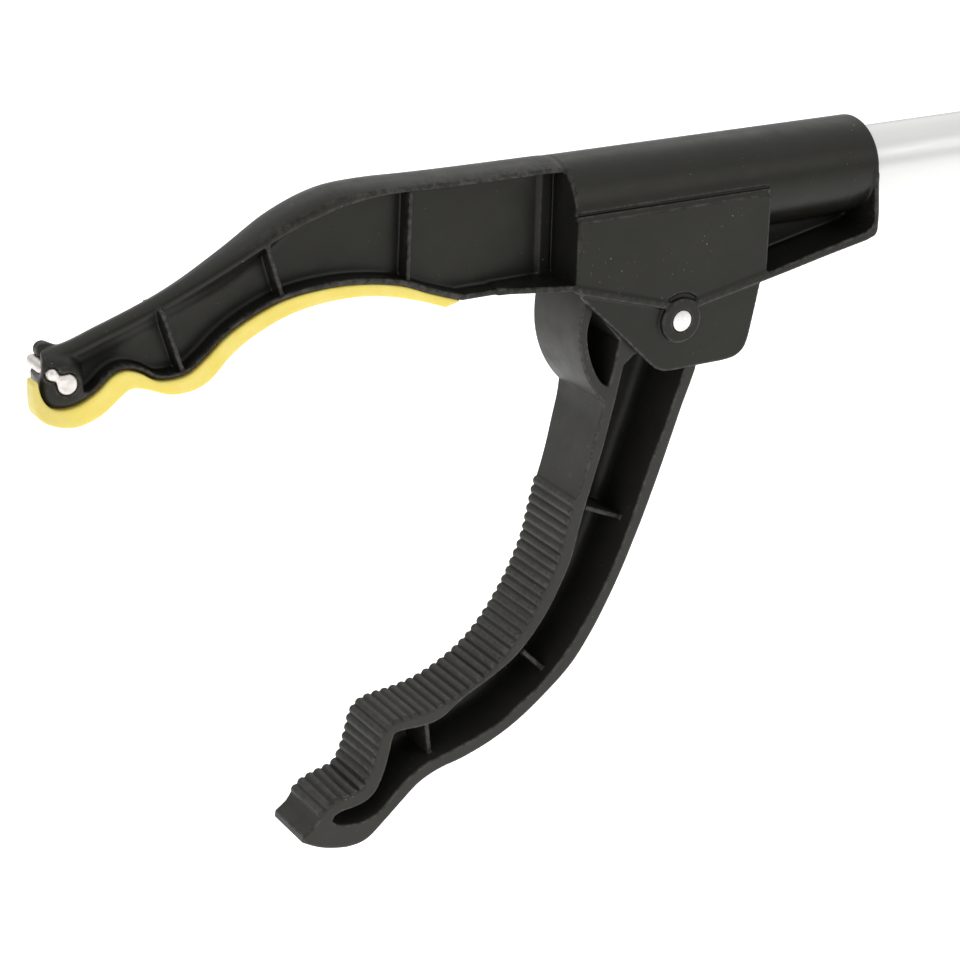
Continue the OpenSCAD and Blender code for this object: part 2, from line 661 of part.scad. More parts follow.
fixed_jaw();
upper_grip_pad();
tip_magnet();
tip_wire_pin();
jaw_pivot_pin();
pivot_push_nut();
shaft_tube();
front_rod_guide();
rear_rod_guide();
return_spring();
handle_left_shell();
handle_right_shell();
shell_screws();
tube_lock_pin();
palm_pad();
trigger_pin();
moving_jaw();
jaw_bushes();
pull_rod();
front_clevis();
front_clevis_pin();
rear_clevis();
rear_clevis_pin();
clevis_clips();
spring_collar();
trigger_lever();
trigger_pad();
trigger_bush();
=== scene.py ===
import json
import math
from functools import reduce
from itertools import product

import bmesh
import bpy
import numpy as np
from mathutils import Matrix, Vector


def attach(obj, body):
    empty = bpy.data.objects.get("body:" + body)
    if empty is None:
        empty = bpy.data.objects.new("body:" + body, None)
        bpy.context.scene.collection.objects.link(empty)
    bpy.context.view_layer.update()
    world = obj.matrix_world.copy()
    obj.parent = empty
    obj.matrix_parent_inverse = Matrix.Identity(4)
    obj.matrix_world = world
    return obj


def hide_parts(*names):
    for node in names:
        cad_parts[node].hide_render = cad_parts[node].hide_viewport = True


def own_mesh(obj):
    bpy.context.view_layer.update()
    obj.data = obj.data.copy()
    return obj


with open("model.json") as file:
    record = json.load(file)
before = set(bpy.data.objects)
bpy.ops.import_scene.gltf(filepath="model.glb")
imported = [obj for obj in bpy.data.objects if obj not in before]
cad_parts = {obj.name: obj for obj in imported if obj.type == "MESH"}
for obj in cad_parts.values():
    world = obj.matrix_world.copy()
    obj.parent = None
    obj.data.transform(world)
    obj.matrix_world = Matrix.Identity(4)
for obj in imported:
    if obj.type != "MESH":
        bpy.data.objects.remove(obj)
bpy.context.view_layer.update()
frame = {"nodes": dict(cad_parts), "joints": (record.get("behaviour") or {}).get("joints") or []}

# The frame's X runs from the jaws to the handle, Z is up and the jaw plane is XZ.
# Shapes are drawn in millimetres from an origin: the jaw pivot, the trigger pivot or the grip.
MM = 0.001
JOINTS = {j["name"]: j for j in frame["joints"]}
GRIP = Vector((0, 0, 0))
JAW = Vector(JOINTS["jaw_hinge"]["pos_m"])
TRIGGER = Vector(JOINTS["trigger_hinge"]["pos_m"])

FIXED, LOWER, ROD, LEVER_BODY = "handle_and_fixed_jaw", "lower_jaw", "rod", "trigger"


# ---------------------------------------------------------------- curves

def smooth(points, steps=5):
    """Points on a smooth curve through the given ones."""
    p = np.array([points[0]] + list(points) + [points[-1]], float)
    t = np.arange(steps)[:, None] / steps
    spans = []
    for a, b, c, d in zip(p, p[1:], p[2:], p[3:]):
        spans.append(0.5 * (2 * b + (c - a) * t + (2 * a - 5 * b + 4 * c - d) * t ** 2
                            + (3 * b - a - 3 * c + d) * t ** 3))
    return [tuple(q) for q in np.vstack(spans + [p[-1:]])]


def arc(centre, radius, start, end, steps=24):
    """Points on an arc, with its angles in degrees from +X towards +Z."""
    angles = np.radians(np.linspace(start, end, steps + 1))
    return [(centre[0] + radius * math.cos(a), centre[1] + radius * math.sin(a)) for a in angles]


def evenly(points, start, end, pitch):
    """Points at even spaces along a line, with the direction there."""
    p = np.array(points)
    length = np.concatenate([[0], np.cumsum(np.hypot(*np.diff(p, axis=0).T))])
    places = np.arange(start, length[-1] - end + 1e-9, pitch)
    at = lambda s: np.stack([np.interp(s, length, p[:, i]) for i in (0, 1)], axis=1)
    ahead = at(places + 0.5) - at(places - 0.5)
    return at(places), ahead / np.linalg.norm(ahead, axis=1)[:, None]


def ease(x, start, end):
    """0 before start and 1 after end, with a smooth rise between."""
    t = np.clip((x - start) / (end - start), 0, 1)
    return t * t * (3 - 2 * t)


# ---------------------------------------------------------------- moulded solids
#
# A moulded part is drawn as a field of signed distances, negative inside, over a block of
# points. Its surface is then meshed, so every edge and corner gets a moulded radius.

EDGE_REACH = 0.6  # how far around a point its sharpness is felt, for worn edges and for the painted shade in hollows


class Block:
    """Sample points from low to high, in millimetres."""

    def __init__(self, low, high, step):
        self.step = step * 1.0
        self.low = np.array(low, float)
        counts = np.ceil((np.array(high) - self.low) / self.step).astype(int) + 1
        x, y, z = [(lo + self.step * np.arange(n)).astype(np.float32)
                   for lo, n in zip(self.low, counts)]
        self.x = x[:, None, None]
        self.y = y[None, :, None]
        self.z = z[None, None, :]
        self.side = np.abs(self.y)

    def sample(self, field, points):
        """The field's value at any points, between the block's own."""
        p = (points - self.low) / self.step
        cell = np.clip(np.floor(p).astype(int), 0, np.array(field.shape) - 2)
        share = p - cell
        total = np.zeros(len(points))
        for corner in product((0, 1), repeat=3):
            weight = np.prod(np.where(corner, share, 1 - share), axis=1)
            total += weight * field[tuple((cell + corner).T)]
        return total


def both(a, b, r=0.3):
    """What a and b share, with its edges rounded over about r."""
    h = np.maximum(r - np.abs(a - b), 0)
    return np.maximum(a, b) + h * h / (4 * r)


def either(a, b, r=0.3):
    """a and b together, with a fillet of about r."""
    return -both(-a, -b, r)


def without(a, b, r=0.3):
    """a with b cut out of it."""
    return both(a, -b, r)


def together(solids):
    """All the solids as one, with no fillets."""
    return reduce(np.minimum, solids)


def outline(block, points):
    """Signed distance to a closed outline in the XZ plane."""
    x, z = np.broadcast_arrays(block.x[:, 0, :], block.z[0])
    nearest = np.full(x.shape, 1e9, np.float32)
    inside = np.zeros(x.shape, bool)
    ends = np.array(points, np.float32)
    for (ax, az), (bx, bz) in zip(ends, np.roll(ends, -1, axis=0)):
        ex, ez = bx - ax, bz - az
        if ex == 0 and ez == 0:
            continue
        px, pz = x - ax, z - az
        t = np.clip((px * ex + pz * ez) / (ex * ex + ez * ez), 0, 1)
        nearest = np.minimum(nearest, (px - t * ex) ** 2 + (pz - t * ez) ** 2)
        if ez != 0:
            inside ^= ((az > z) != (bz > z)) & (px < pz * ex / ez)
    return (np.where(inside, -1, 1) * np.sqrt(nearest))[:, None, :].astype(np.float32)


def disc(block, centre, radius):
    """Signed distance to a circle in the XZ plane."""
    return np.hypot(block.x - centre[0], block.z - centre[1]) - radius


def tube(block, z, radius):
    """Signed distance to a long cylinder along X. The radius may change along it."""
    return np.hypot(block.y, block.z - z) - radius


def between(values, low, high):
    """Signed distance to the stretch from low to high."""
    return np.abs(values - (low + high) / 2) - (high - low) / 2


def bar(block, foot, top, thickness):
    """Signed distance to a straight strip in the XZ plane."""
    foot, top = np.array(foot, float), np.array(top, float)
    along = (top - foot) / np.linalg.norm(top - foot)
    x, z = block.x - (foot[0] + top[0]) / 2, block.z - (foot[1] + top[1]) / 2
    u = np.abs(x * along[0] + z * along[1]) - np.linalg.norm(top - foot) / 2
    v = np.abs(x * along[1] - z * along[0]) - thickness / 2
    return np.maximum(u, v)


def surface(field):
    """The net of four-sided faces where the field is zero, in grid units."""
    inside = field < 0
    size = np.array(field.shape) - 1
    count = np.zeros(tuple(size), np.int8)
    for i, j, k in product((0, 1), repeat=3):
        count += inside[i:size[0] + i, j:size[1] + j, k:size[2] + k]
    cells = np.argwhere((count > 0) & (count < 8))
    index = np.full(tuple(size), -1, np.int32)
    index[tuple(cells.T)] = np.arange(len(cells))
    total, hits = np.zeros((len(cells), 3)), np.zeros(len(cells))
    faces = []
    for axis in range(3):
        unit = np.eye(3, dtype=int)
        a, b = unit[(axis + 1) % 3], unit[(axis + 2) % 3]
        for u, v in product((0, 1), repeat=2):
            start = u * a + v * b
            f0 = field[tuple((cells + start).T)]
            f1 = field[tuple((cells + start + unit[axis]).T)]
            hit = (f0 < 0) != (f1 < 0)
            share = f0[hit] / (f0[hit] - f1[hit])
            total[hit] += start + share[:, None] * unit[axis]
            hits += hit
        low, high = [slice(1, -1)] * 3, [slice(1, -1)] * 3
        low[axis], high[axis] = slice(0, -1), slice(1, None)
        node = np.argwhere(inside[tuple(low)] != inside[tuple(high)]) + a + b
        around = [index[tuple((node - i * a - j * b).T)] for i, j in ((1, 1), (0, 1), (0, 0), (1, 0))]
        quads = np.stack(around, axis=1)
        inward = ~inside[tuple(node.T)]
        quads[inward] = quads[inward, ::-1]
        faces.append(quads)
    return cells + total / hits[:, None], np.vstack(faces)


def slope(block, field, points, reach):
    """The field's value and gradient at the points, and how convex it is there."""
    centre = block.sample(field, points)
    steps, around = np.eye(3) * reach, 0
    gradient = np.zeros((len(points), 3))
    for axis in range(3):
        ahead = block.sample(field, points + steps[axis])
        back = block.sample(field, points - steps[axis])
        gradient[:, axis] = (ahead - back) / (2 * reach)
        around = around + ahead + back
    return centre, gradient, (around - 6 * centre) / reach


def new_object(name, data):
    """An object with this data, linked into the scene."""
    obj = bpy.data.objects.new(name, data)
    bpy.context.scene.collection.objects.link(obj)
    return obj


def moulded(name, block, field, origin, keep):
    """A mesh of the solid that the field describes, thinned to a share of its faces."""
    field = np.ascontiguousarray(field, np.float32)
    points, faces = surface(field)
    mesh = bpy.data.meshes.new(name)
    mesh.from_pydata(block.low + block.step * points, [], faces)
    mesh.update()
    obj = new_object(name, mesh)
    thin = obj.modifiers.new("thin", "DECIMATE")
    thin.ratio = keep
    view = bpy.context.evaluated_depsgraph_get()
    mesh = bpy.data.meshes.new_from_object(obj.evaluated_get(view))
    obj.modifiers.clear()
    obj.data = mesh
    mesh.name = name
    points = np.zeros(len(mesh.vertices) * 3)
    mesh.vertices.foreach_get("co", points)
    points = points.reshape(-1, 3)
    for _ in range(2):
        away, gradient = slope(block, field, points, block.step / 2)[:2]
        square = np.maximum((gradient ** 2).sum(1), 0.1)
        points -= np.clip(away / square, -0.2, 0.2)[:, None] * gradient
    gradient = slope(block, field, points, block.step / 2)[1]
    bend = slope(block, field, points, EDGE_REACH)[2]
    normals = gradient / np.maximum(np.linalg.norm(gradient, axis=1), 1e-6)[:, None]
    mesh.vertices.foreach_set("co", (points * MM + np.array(origin)).ravel())
    mesh.polygons.foreach_set("use_smooth", [True] * len(mesh.polygons))
    mesh.normals_split_custom_set_from_vertices(normals.tolist())
    edge = mesh.attributes.new("edge", "FLOAT", "POINT")
    edge.data.foreach_set("value", bend.astype(np.float32))
    mesh.update()
    return obj


def finish_piece(obj, body, material, slot, *nodes):
    """Rides the piece on its body, gives it its finish, and lets it stand for CAD nodes."""
    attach(obj, body)
    obj.data.materials.clear()
    obj.data.materials.append(material)
    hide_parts(*nodes)


# ---------------------------------------------------------------- materials

class Finish:
    """A node material, built with one call for each node."""

    def __init__(self, name):
        self.material = bpy.data.materials.new(name)
        self.material.use_nodes = True
        self.tree = self.material.node_tree
        self.tree.nodes.clear()
        self.place = self.add("ShaderNodeTexCoord").outputs["Object"]

    def add(self, kind, inputs=None, **settings):
        node = self.tree.nodes.new(kind)
        for key, value in settings.items():
            setattr(node, key, value)
        for key, value in (inputs or {}).items():
            if isinstance(value, bpy.types.NodeSocket):
                self.tree.links.new(value, node.inputs[key])
            else:
                node.inputs[key].default_value = value
        return node

    def noise(self, size_mm, detail=3.0, roughness=0.5, stretch=None):
        """Soft random variation with features of about size_mm."""
        place = self.place
        if stretch:
            place = self.add("ShaderNodeMapping", {"Vector": place, "Scale": stretch}).outputs[0]
        values = {"Vector": place, "Scale": 1 / (size_mm * MM), "Detail": detail,
                  "Roughness": roughness}
        return self.add("ShaderNodeTexNoise", values).outputs["Fac"]

    def span(self, value, low, high, to_low=0.0, to_high=1.0):
        """The value's stretch from low to high, spread over a new range."""
        values = {"Value": value, "From Min": low, "From Max": high, "To Min": to_low,
                  "To Max": to_high}
        return self.add("ShaderNodeMapRange", values).outputs["Result"]

    def plus(self, a, b):
        return self.add("ShaderNodeMath", {0: a, 1: b}, operation="ADD").outputs[0]

    def times(self, a, b):
        return self.add("ShaderNodeMath", {0: a, 1: b}, operation="MULTIPLY").outputs[0]

    def mix(self, share, a, b):
        """Colour a, with its share of colour b."""
        return self.add("ShaderNodeMix", {0: share, 6: a, 7: b}, data_type="RGBA").outputs[2]

    def edge(self, low, high):
        """0 to 1 as the surface goes from low to high: negative in hollows, positive on edges."""
        value = self.add("ShaderNodeAttribute", attribute_name="edge").outputs["Fac"]
        return self.span(value, low, high)

    def done(self, color, roughness, bumps, **values):
        """bumps is a list of (height, strength, depth in mm)."""
        normal = None
        for height, strength, depth in bumps:
            inputs = {"Height": height, "Strength": strength, "Distance": depth * MM}
            if normal is not None:
                inputs["Normal"] = normal
            normal = self.add("ShaderNodeBump", inputs).outputs["Normal"]
        inputs = {"Base Color": color, "Roughness": roughness}
        if normal is not None:
            inputs["Normal"] = normal
        inputs.update({key.replace("_", " "): value for key, value in values.items()})
        shader = self.add("ShaderNodeBsdfPrincipled", inputs)
        out = self.add("ShaderNodeOutputMaterial")
        self.tree.links.new(shader.outputs[0], out.inputs["Surface"])
        return self.material


def black_plastic(name, dark, pale, rough, gloss):
    """Moulded polypropylene: satin, with a fine grain, dust, small scratches, pale edges, and painted
    shade darkening its hollows.
    """
    f = Finish(name)
    cloud = f.noise(18, 4, 0.6)
    color = f.mix(f.span(cloud, 0.35, 0.65), dark, pale)
    worn = f.times(f.edge(0.3, 0.8), f.span(f.noise(1.6, 4, 0.7), 0.42, 0.62))
    color = f.mix(f.times(worn, 0.26), color, (0.16, 0.155, 0.145, 1))
    # Painted shade: concave hollows are darkened towards near black.
    hollow_shade = f.times(f.edge(-0.15, -0.7), 0.55)
    color = f.mix(hollow_shade, color, (0.004, 0.004, 0.0035, 1))
    dust = f.span(f.noise(0.55, 1, 0.4), 0.76, 0.8)
    dust = f.times(dust, f.span(f.noise(9, 2, 0.5), 0.48, 0.62))
    color = f.mix(f.times(dust, 0.55), color, (0.3, 0.29, 0.27, 1))
    scratch = f.span(f.noise(2.2, 2, 0.5, (1, 1, 14)), 0.66, 0.7)
    scratch = f.times(scratch, f.span(f.noise(14, 2, 0.5), 0.52, 0.62))
    roughness = f.span(f.noise(5, 5, 0.65), 0.3, 0.7, rough - 0.06, rough + 0.07)
    roughness = f.plus(roughness, f.times(worn, 0.12))
    grain = f.noise(0.22, 2, 0.6)
    ripple = f.noise(7, 2, 0.4)
    return f.done(color, roughness, [(ripple, 0.35, 0.25), (grain, 0.22, 0.03),
                                     (scratch, 0.3, 0.03)], IOR=1.49,
                  Specular_IOR_Level=gloss, Specular_Tint=(1, 0.985, 0.9, 1))


def yellow_rubber():
    """Soft rubber with a mottled tint, grime, and painted shade that darkens it towards the nose's end.
    """
    f = Finish("yellow_rubber")
    cloud = f.noise(7, 4, 0.6)
    color = f.mix(f.span(cloud, 0.35, 0.68), (0.8, 0.65, 0.12, 1), (0.84, 0.71, 0.19, 1))
    grime = f.span(f.noise(1.1, 4, 0.7), 0.6, 0.75)
    color = f.mix(f.times(grime, 0.25), color, (0.52, 0.42, 0.11, 1))
    # Painted shade: the rubber darkens towards the nose's end.
    along = f.add("ShaderNodeSeparateXYZ", {0: f.place}).outputs["X"]
    nose_shade = f.times(f.span(along, -0.768, -0.781), 0.4)
    color = f.mix(nose_shade, color, (0.42, 0.38, 0.16, 1))
    roughness = f.span(f.noise(2, 4, 0.6), 0.3, 0.7, 0.42, 0.58)
    bumps = [(f.noise(0.5, 3, 0.6), 0.25, 0.05), (f.noise(4, 2, 0.5), 0.3, 0.2)]
    return f.done(color, roughness, bumps, Subsurface_Weight=0.3, Subsurface_Scale=0.0015,
                  IOR=1.46)


def metal(name, color, rough, brush=(1, 1, 1), blotch=0.12, size=0.35):
    """Bare or plated metal with a fine brushed grain and uneven sheen."""
    f = Finish(name)
    dark = tuple(c * (1 - blotch) for c in color[:3]) + (1,)
    tint = f.mix(f.span(f.noise(2.5, 5, 0.7), 0.35, 0.65), dark, color)
    fine = f.noise(size, 3, 0.6, brush)
    roughness = f.span(fine, 0.3, 0.7, rough - 0.07, rough + 0.09)
    return f.done(tint, roughness, [(fine, 0.18, 0.02)], Metallic=1.0)


def anodised():
    """Clear anodised aluminium tube: a matt white-silver with a drawn grain along X."""
    f = Finish("anodised_aluminium")
    drawn = f.noise(0.3, 4, 0.6, (0.02, 1, 1))
    cloud = f.noise(25, 3, 0.5, (0.3, 1, 1))
    color = f.mix(f.span(cloud, 0.3, 0.7), (0.68, 0.68, 0.67, 1), (0.73, 0.73, 0.72, 1))
    roughness = f.span(drawn, 0.3, 0.7, 0.36, 0.46)
    return f.done(color, roughness, [(drawn, 0.12, 0.02)], Metallic=0.85)


def pale_plastic(name, color):
    """Unpigmented plastic, slightly see-through."""
    f = Finish(name)
    tint = f.mix(f.span(f.noise(6, 3, 0.6), 0.35, 0.65), color,
                 tuple(c * 0.9 for c in color[:3]) + (1,))
    roughness = f.span(f.noise(1.5, 3, 0.6), 0.3, 0.7, 0.4, 0.55)
    return f.done(tint, roughness, [(f.noise(0.3, 2, 0.6), 0.2, 0.03)], Subsurface_Weight=0.2,
                  Subsurface_Scale=0.001)


BLACK = black_plastic("black_plastic", (0.0078, 0.0076, 0.0062, 1), (0.0108, 0.0105, 0.0086, 1),
                      rough=0.34, gloss=0.27)
GREY = black_plastic("dark_grey_plastic", (0.0148, 0.0143, 0.013, 1), (0.0185, 0.018, 0.0162, 1),
                     rough=0.46, gloss=0.34)
YELLOW = yellow_rubber()
PIN = metal("pin_steel", (0.76, 0.75, 0.735, 1), 0.28)
NICKEL = metal("magnet_nickel", (0.78, 0.74, 0.7, 1), 0.42, blotch=0.2)
ZINC = metal("screw_zinc", (0.6, 0.6, 0.61, 1), 0.33)
SPRING = metal("spring_steel", (0.4, 0.4, 0.41, 1), 0.3)
BRONZE = metal("bush_bronze", (0.72, 0.53, 0.27, 1), 0.35)
ALUMINIUM = anodised()
NATURAL = pale_plastic("natural_acetal", (0.74, 0.72, 0.66, 1))


# ---------------------------------------------------------------- head outlines, from the jaw pivot

CROWN = [(-26, 38.2), (-50, 38.4), (-62, 38.6), (-74, 38.9), (-84, 38.1), (-94.5, 34.5),
         (-105, 28.8), (-115, 23.7), (-125, 19.5), (-135.5, 15.9), (-142, 13.8), (-148.4, 12.9)]
UNDER = [(-150, 11.2), (-150.1, 8.2), (-149.4, 4.8), (-147.6, 2.3), (-144.7, 1.4), (-141.2, 1.9),
         (-137.4, 3.8), (-134.2, 6.4), (-131.2, 7.3), (-128, 6.3), (-124.6, 4.2), (-121, 3.7),
         (-117.1, 4.4), (-113.1, 7.2), (-109, 10.7), (-103, 14.1), (-95, 17), (-86, 18.1),
         (-77, 17.8), (-68, 16.1), (-60.5, 13.2), (-53, 10.6)]
PAD_FACE = [(-151, 10), (-151.4, 7.6), (-151.4, 3.4), (-149.8, 0), (-146.2, -2.1),
            (-141.8, -2.7), (-136.8, -1.1), (-132.6, 2), (-130, 3.4), (-126.6, 2.6),
            (-121.5, 0.7), (-116.4, 0.8), (-112.4, 2.6), (-108, 6.8), (-102.5, 10.4),
            (-94, 13.8), (-84, 15.2), (-74, 14.7), (-64, 12.2), (-57, 9.6)]
GRIP_FACE = [(-17.9, -17.6), (-18.5, -21.5), (-19.8, -26.5), (-21.1, -31.8), (-22.6, -37),
             (-24.4, -42.3), (-25.9, -48), (-27.4, -54), (-29.7, -59.4), (-32.8, -65.2),
             (-36.9, -71.2), (-42, -76.8), (-48, -81), (-54.6, -84), (-61, -85.5),
             (-68.5, -86.2), (-71.4, -87.2), (-73.2, -89.4), (-74.3, -93.4), (-75.9, -98),
             (-77.8, -100.9), (-80.4, -101.8), (-83.5, -102.5), (-86.3, -103.6),
             (-88.4, -105.5), (-90, -107.6), (-92.7, -109.5)]
BACK_FACE = [(-92.9, -111), (-88.8, -113.3), (-84.6, -114.7), (-80.4, -115.3), (-76.2, -114.5),
             (-71.7, -110.9), (-67.2, -106.9), (-62.8, -103.3), (-57.6, -101.1), (-51.4, -99.8),
             (-44, -97.3), (-36.7, -93.6), (-29.3, -88.2), (-22.7, -82.3), (-17.7, -75.4),
             (-13.4, -67.8), (-10, -60.9), (-7.1, -54), (-4.6, -47.8), (-1.7, -39.7),
             (1.3, -30.5), (4.3, -21), (6.9, -13.8)]
POCKET_FRONT = [(-12.9, -9.5), (-14.4, -16), (-15.8, -22.5), (-17, -28), (-18.9, -35),
                (-20.7, -41.5), (-22.3, -47.5), (-23.8, -54), (-26.2, -60), (-29.3, -66),
                (-33.4, -71.8), (-38.5, -77), (-45, -80.9), (-52, -84.4), (-57.4, -87.9),
                (-62, -88.8), (-68.7, -88.7), (-70.1, -90), (-70.9, -93.6), (-72.2, -98.2),
                (-74.1, -102.3), (-76.4, -104.3), (-79.4, -105.2), (-82.6, -105.5),
                (-84.7, -106.2)]
POCKET_BACK = [(-85.3, -107.4), (-83.9, -108.6), (-81.4, -109.4), (-78.4, -109.6),
               (-75.4, -109), (-72.4, -107.4), (-68.6, -103.7), (-65, -100.8), (-61, -98.7),
               (-55.4, -97.3), (-49.9, -95.8), (-45, -94.2), (-40.6, -92.2), (-35.3, -88.5),
               (-30.6, -85.2), (-26.4, -81), (-21.9, -75.5), (-18.2, -69.8), (-15.2, -65),
               (-12.5, -59.3), (-10.2, -54), (-8.4, -49), (-6.1, -42.2), (-3.8, -35.2),
               (-1.1, -28), (1, -21.6), (3, -15.5), (4, -11), (3, -8), (-10, -7.3)]
LENS = [(-21.6, 5), (-22.9, 0), (-22.3, -5), (-20.4, -10), (-17.9, -13.3), (-16.4, -12.6),
        (-14.4, -3.4)]
CHEEK = [(-25.6, 9.2), (-24.9, 7.4), (-15.6, -1.4), (-6.9, -9.8), (-4.6, -11.4), (-1.6, -12.1),
         (7, -12), (14.6, -11.9), (17.9, -10.7), (19.6, -8.2), (21, -2), (22.8, 7.2), (22.8, 12),
         (-25.6, 14)]
RIM = [(-31, 11.1), (-4, 3.2), (4.5, 2.6), (51.8, 11.3), (54.2, 12.1), (55.6, 13.6), (56, 16),
       (56, 26.8), (53.8, 26.8), (53.8, 15.6), (53.1, 14.3), (51.4, 13.4), (4.5, 4.1), (-4, 4.7),
       (-31, 12.6)]
ARM_RIBS = [((-118.4, 4.9), (-122.8, 18.8)), ((-95.6, 17.6), (-99.4, 30.6)),
            ((-65.9, 16.4), (-65.4, 37))]
JAW_RIBS = [((-18.4, -44.9), (-7, -49.9)), ((-34.1, -77.8), (-25.8, -86.4)),
            ((-59.8, -88.5), (-58.3, -101.6))]

# Sizes of the head. A half is a half width, from the jaw plane out to the side.
TUBE_Z, TUBE_R = 26.8, 8.0
HOUSING_FRONT, HOUSING_REAR, SOCKET_END = -28.0, 23.4, 55.2
HOUSING_R, SOCKET_R = 11.35, 11.15
BAND_HALF, PANEL_HALF, CHEEK_HALF, BOSS_HALF, RIM_HALF = 11.75, 12.35, 11.6, 13.0, 12.8
GROOVE_LOW, GROOVE_TOP, PANEL_TOP = 27.4, 27.9, 26.7
BOSS_R, PIVOT_HOLE_R, BUSH_HOLE_R = 5.2, 2.55, 3.5
ARM_HALF, WEB_HALF, HUB_HALF = 6.0, 1.2, 9.7
CROWN_R = 12.5
FLANGE, RIB = 1.35, 1.0
NOSE_X, NOSE_SLANT = -144.6, 0.59
NOSE_BOSS, NOSE_BOSS_R = (-145.6, 8.0), 5.6
DRUM_R, HUB_R = 25.2, 9.0
GRIP_RIB_R, GRIP_RIB_PITCH, GRIP_RIB_SINK = 1.2, 2.24, 0.45
JAW_DEPTHS = [17, 25, 43, 62, 85, 116]
JAW_HALVES = [HUB_HALF, 9.3, 8.6, 8.2, 7.8, 7.1]
POCKET_FLOOR = 5.8
KEYHOLE = [((-144, 6.8), 2.2), ((-147.1, 9.3), 1.15)]
CROSS_PIN_R = 1.35
LEVER_ANGLE = math.radians(24)
LEVER_HALF = 3.0


def arm(b):
    """The fixed jaw's arm: an arched crown, a thin web with cross ribs, and a lower flange."""
    far = 40
    top = outline(b, smooth(CROWN) + [(-170, 12.3), (-170, -far), (far, -far), (far, 38.4)])
    low = outline(b, smooth(UNDER) + [(far, 10.6), (far, 90), (-147, 90), (-147, 17)])
    top = top + b.y ** 2 / (2 * CROWN_R) + 0.8 * ease(b.x, -30, -24)
    tip = ease(-b.x, 78, 108)
    half = ARM_HALF - 0.5 * ease(-b.x, 60, 150)
    solid = both(both(top, low, 0.8), b.side - half, 0.5 + 2.2 * tip)
    slant = 0.22 + 0.37 * ease(b.z, 7.2, 9.2)
    solid = both(solid, nose(b, 5.0, -3, slant), 1.0)

    # The pocket on each side stays clear of the crown, the flange, the web and the nose.
    brow = 1.0 + 1.9 * ease(-b.x, 66, 96) - 1.1 * ease(-b.x, 100, 122)
    ceiling, floor = top + brow, low + FLANGE
    high = both(ceiling, WEB_HALF - b.side, 0.8 + 5.0 * tip)
    pocket = both(high, both(floor, -disc(b, NOSE_BOSS, NOSE_BOSS_R), 3.0), 0.9)
    near_top = tip * ease(ceiling, -7, -1)
    solid = without(solid, pocket, 0.45 + 4.0 * near_top)

    solid = either(solid, both(arm_ribs(b), np.maximum(top, low) + 0.8, 0.8), 0.4)
    solid = both(solid, b.x + 18, 0.3)
    pilaster = both(between(b.x, -31.6, -28.6), b.side - (WEB_HALF + 0.6), 0.5)
    pilaster = both(pilaster, np.maximum(ceiling, floor) - 0.6, 0.3)
    return either(either(solid, pilaster, 0.8), spreading_flange(b), 0.8)


def arm_ribs(b):
    """The cross ribs that stand on the web, a little below the arm's sides."""
    half = ARM_HALF - 1.1
    return together(both(bar(b, foot, head, RIB), b.side - half, 0.4) for foot, head in ARM_RIBS)


def spreading_flange(b):
    """The lower flange where it widens from the arm to the housing."""
    start, end = -44, -27
    half = ARM_HALF + (b.x - start) * 6.2 / (end - start)
    flange = both(both(b.side - half, between(b.z, 10.6, 12.0), 0.4), b.x - end, 0.2)
    return both(flange, start - b.x, 0.3)


def nose(b, reach, corner, slant):
    """The nose's end seen from above: square from the near side to corner, then slanting back."""
    past = NOSE_X - b.x - reach
    slanted = (past + slant * (b.y - corner)) / np.hypot(1, slant)
    return both(both(past, -b.y - ARM_HALF, 2.0), slanted, 2.0)


def housing(b):
    """The linkage housing and the tube's socket."""
    along = (b.x - HOUSING_FRONT) / (SOCKET_END - HOUSING_FRONT)
    round_top = tube(b, TUBE_Z, HOUSING_R + (SOCKET_R - HOUSING_R) * along)
    ahead = HOUSING_FRONT - 3
    length = between(b.x, ahead, HOUSING_REAR)
    groove = both(between(b.z, GROOVE_LOW, GROOVE_TOP), np.maximum(length, 10.9 - b.side), 0.1)
    solid = without(round_top, groove, 0.25)
    band = both(between(b.z, 20, GROOVE_LOW), b.side - BAND_HALF, 0.5)
    solid = np.minimum(solid, both(band, length, 0.3))
    solid = either(solid, side_panel(b, ahead), 0.2)
    notch = both(disc(b, (0, 0), BOSS_R + 1.1), BAND_HALF - b.side, 0.3)
    solid = without(solid, notch, 0.4)
    cheek = both(outline(b, smooth(CHEEK[:-2], 3) + CHEEK[-2:]), b.side - CHEEK_HALF, 0.5)
    solid = either(solid, cheek, 0.4)
    web = outline(b, [(HOUSING_REAR - 1, 6), (54, 12.6), (54, 22), (HOUSING_REAR - 1, 22)])
    solid = either(solid, both(web, b.side - WEB_HALF, 0.3), 1.2)
    rim_half = RIM_HALF - (0.4 + 1.0 * ease(b.z, 16, 26.8)) * ease(b.x, 24, 44)
    solid = either(solid, both(outline(b, RIM), b.side - rim_half, 0.5), 0.9)
    solid = both(solid, between(b.x, HOUSING_FRONT, SOCKET_END), 0.9)
    boss = both(disc(b, (0, 0), BOSS_R), b.side - BOSS_HALF, 0.5)
    return either(solid, boss, 0.3)


def side_panel(b, ahead):
    """The raised panel on the housing's side, chamfered along its top."""
    shape = outline(b, [(ahead, 11.6), (-4, 3.9), (4.5, 3.3), (HOUSING_REAR, 6.9),
                        (HOUSING_REAR, PANEL_TOP - 1.5), (HOUSING_REAR - 1.4, PANEL_TOP),
                        (ahead, PANEL_TOP)])
    chamfer = (b.side - PANEL_HALF + b.z - (PANEL_TOP - 0.5)) / math.sqrt(2)
    return both(both(shape, b.side - PANEL_HALF, 0.4), chamfer, 0.25)


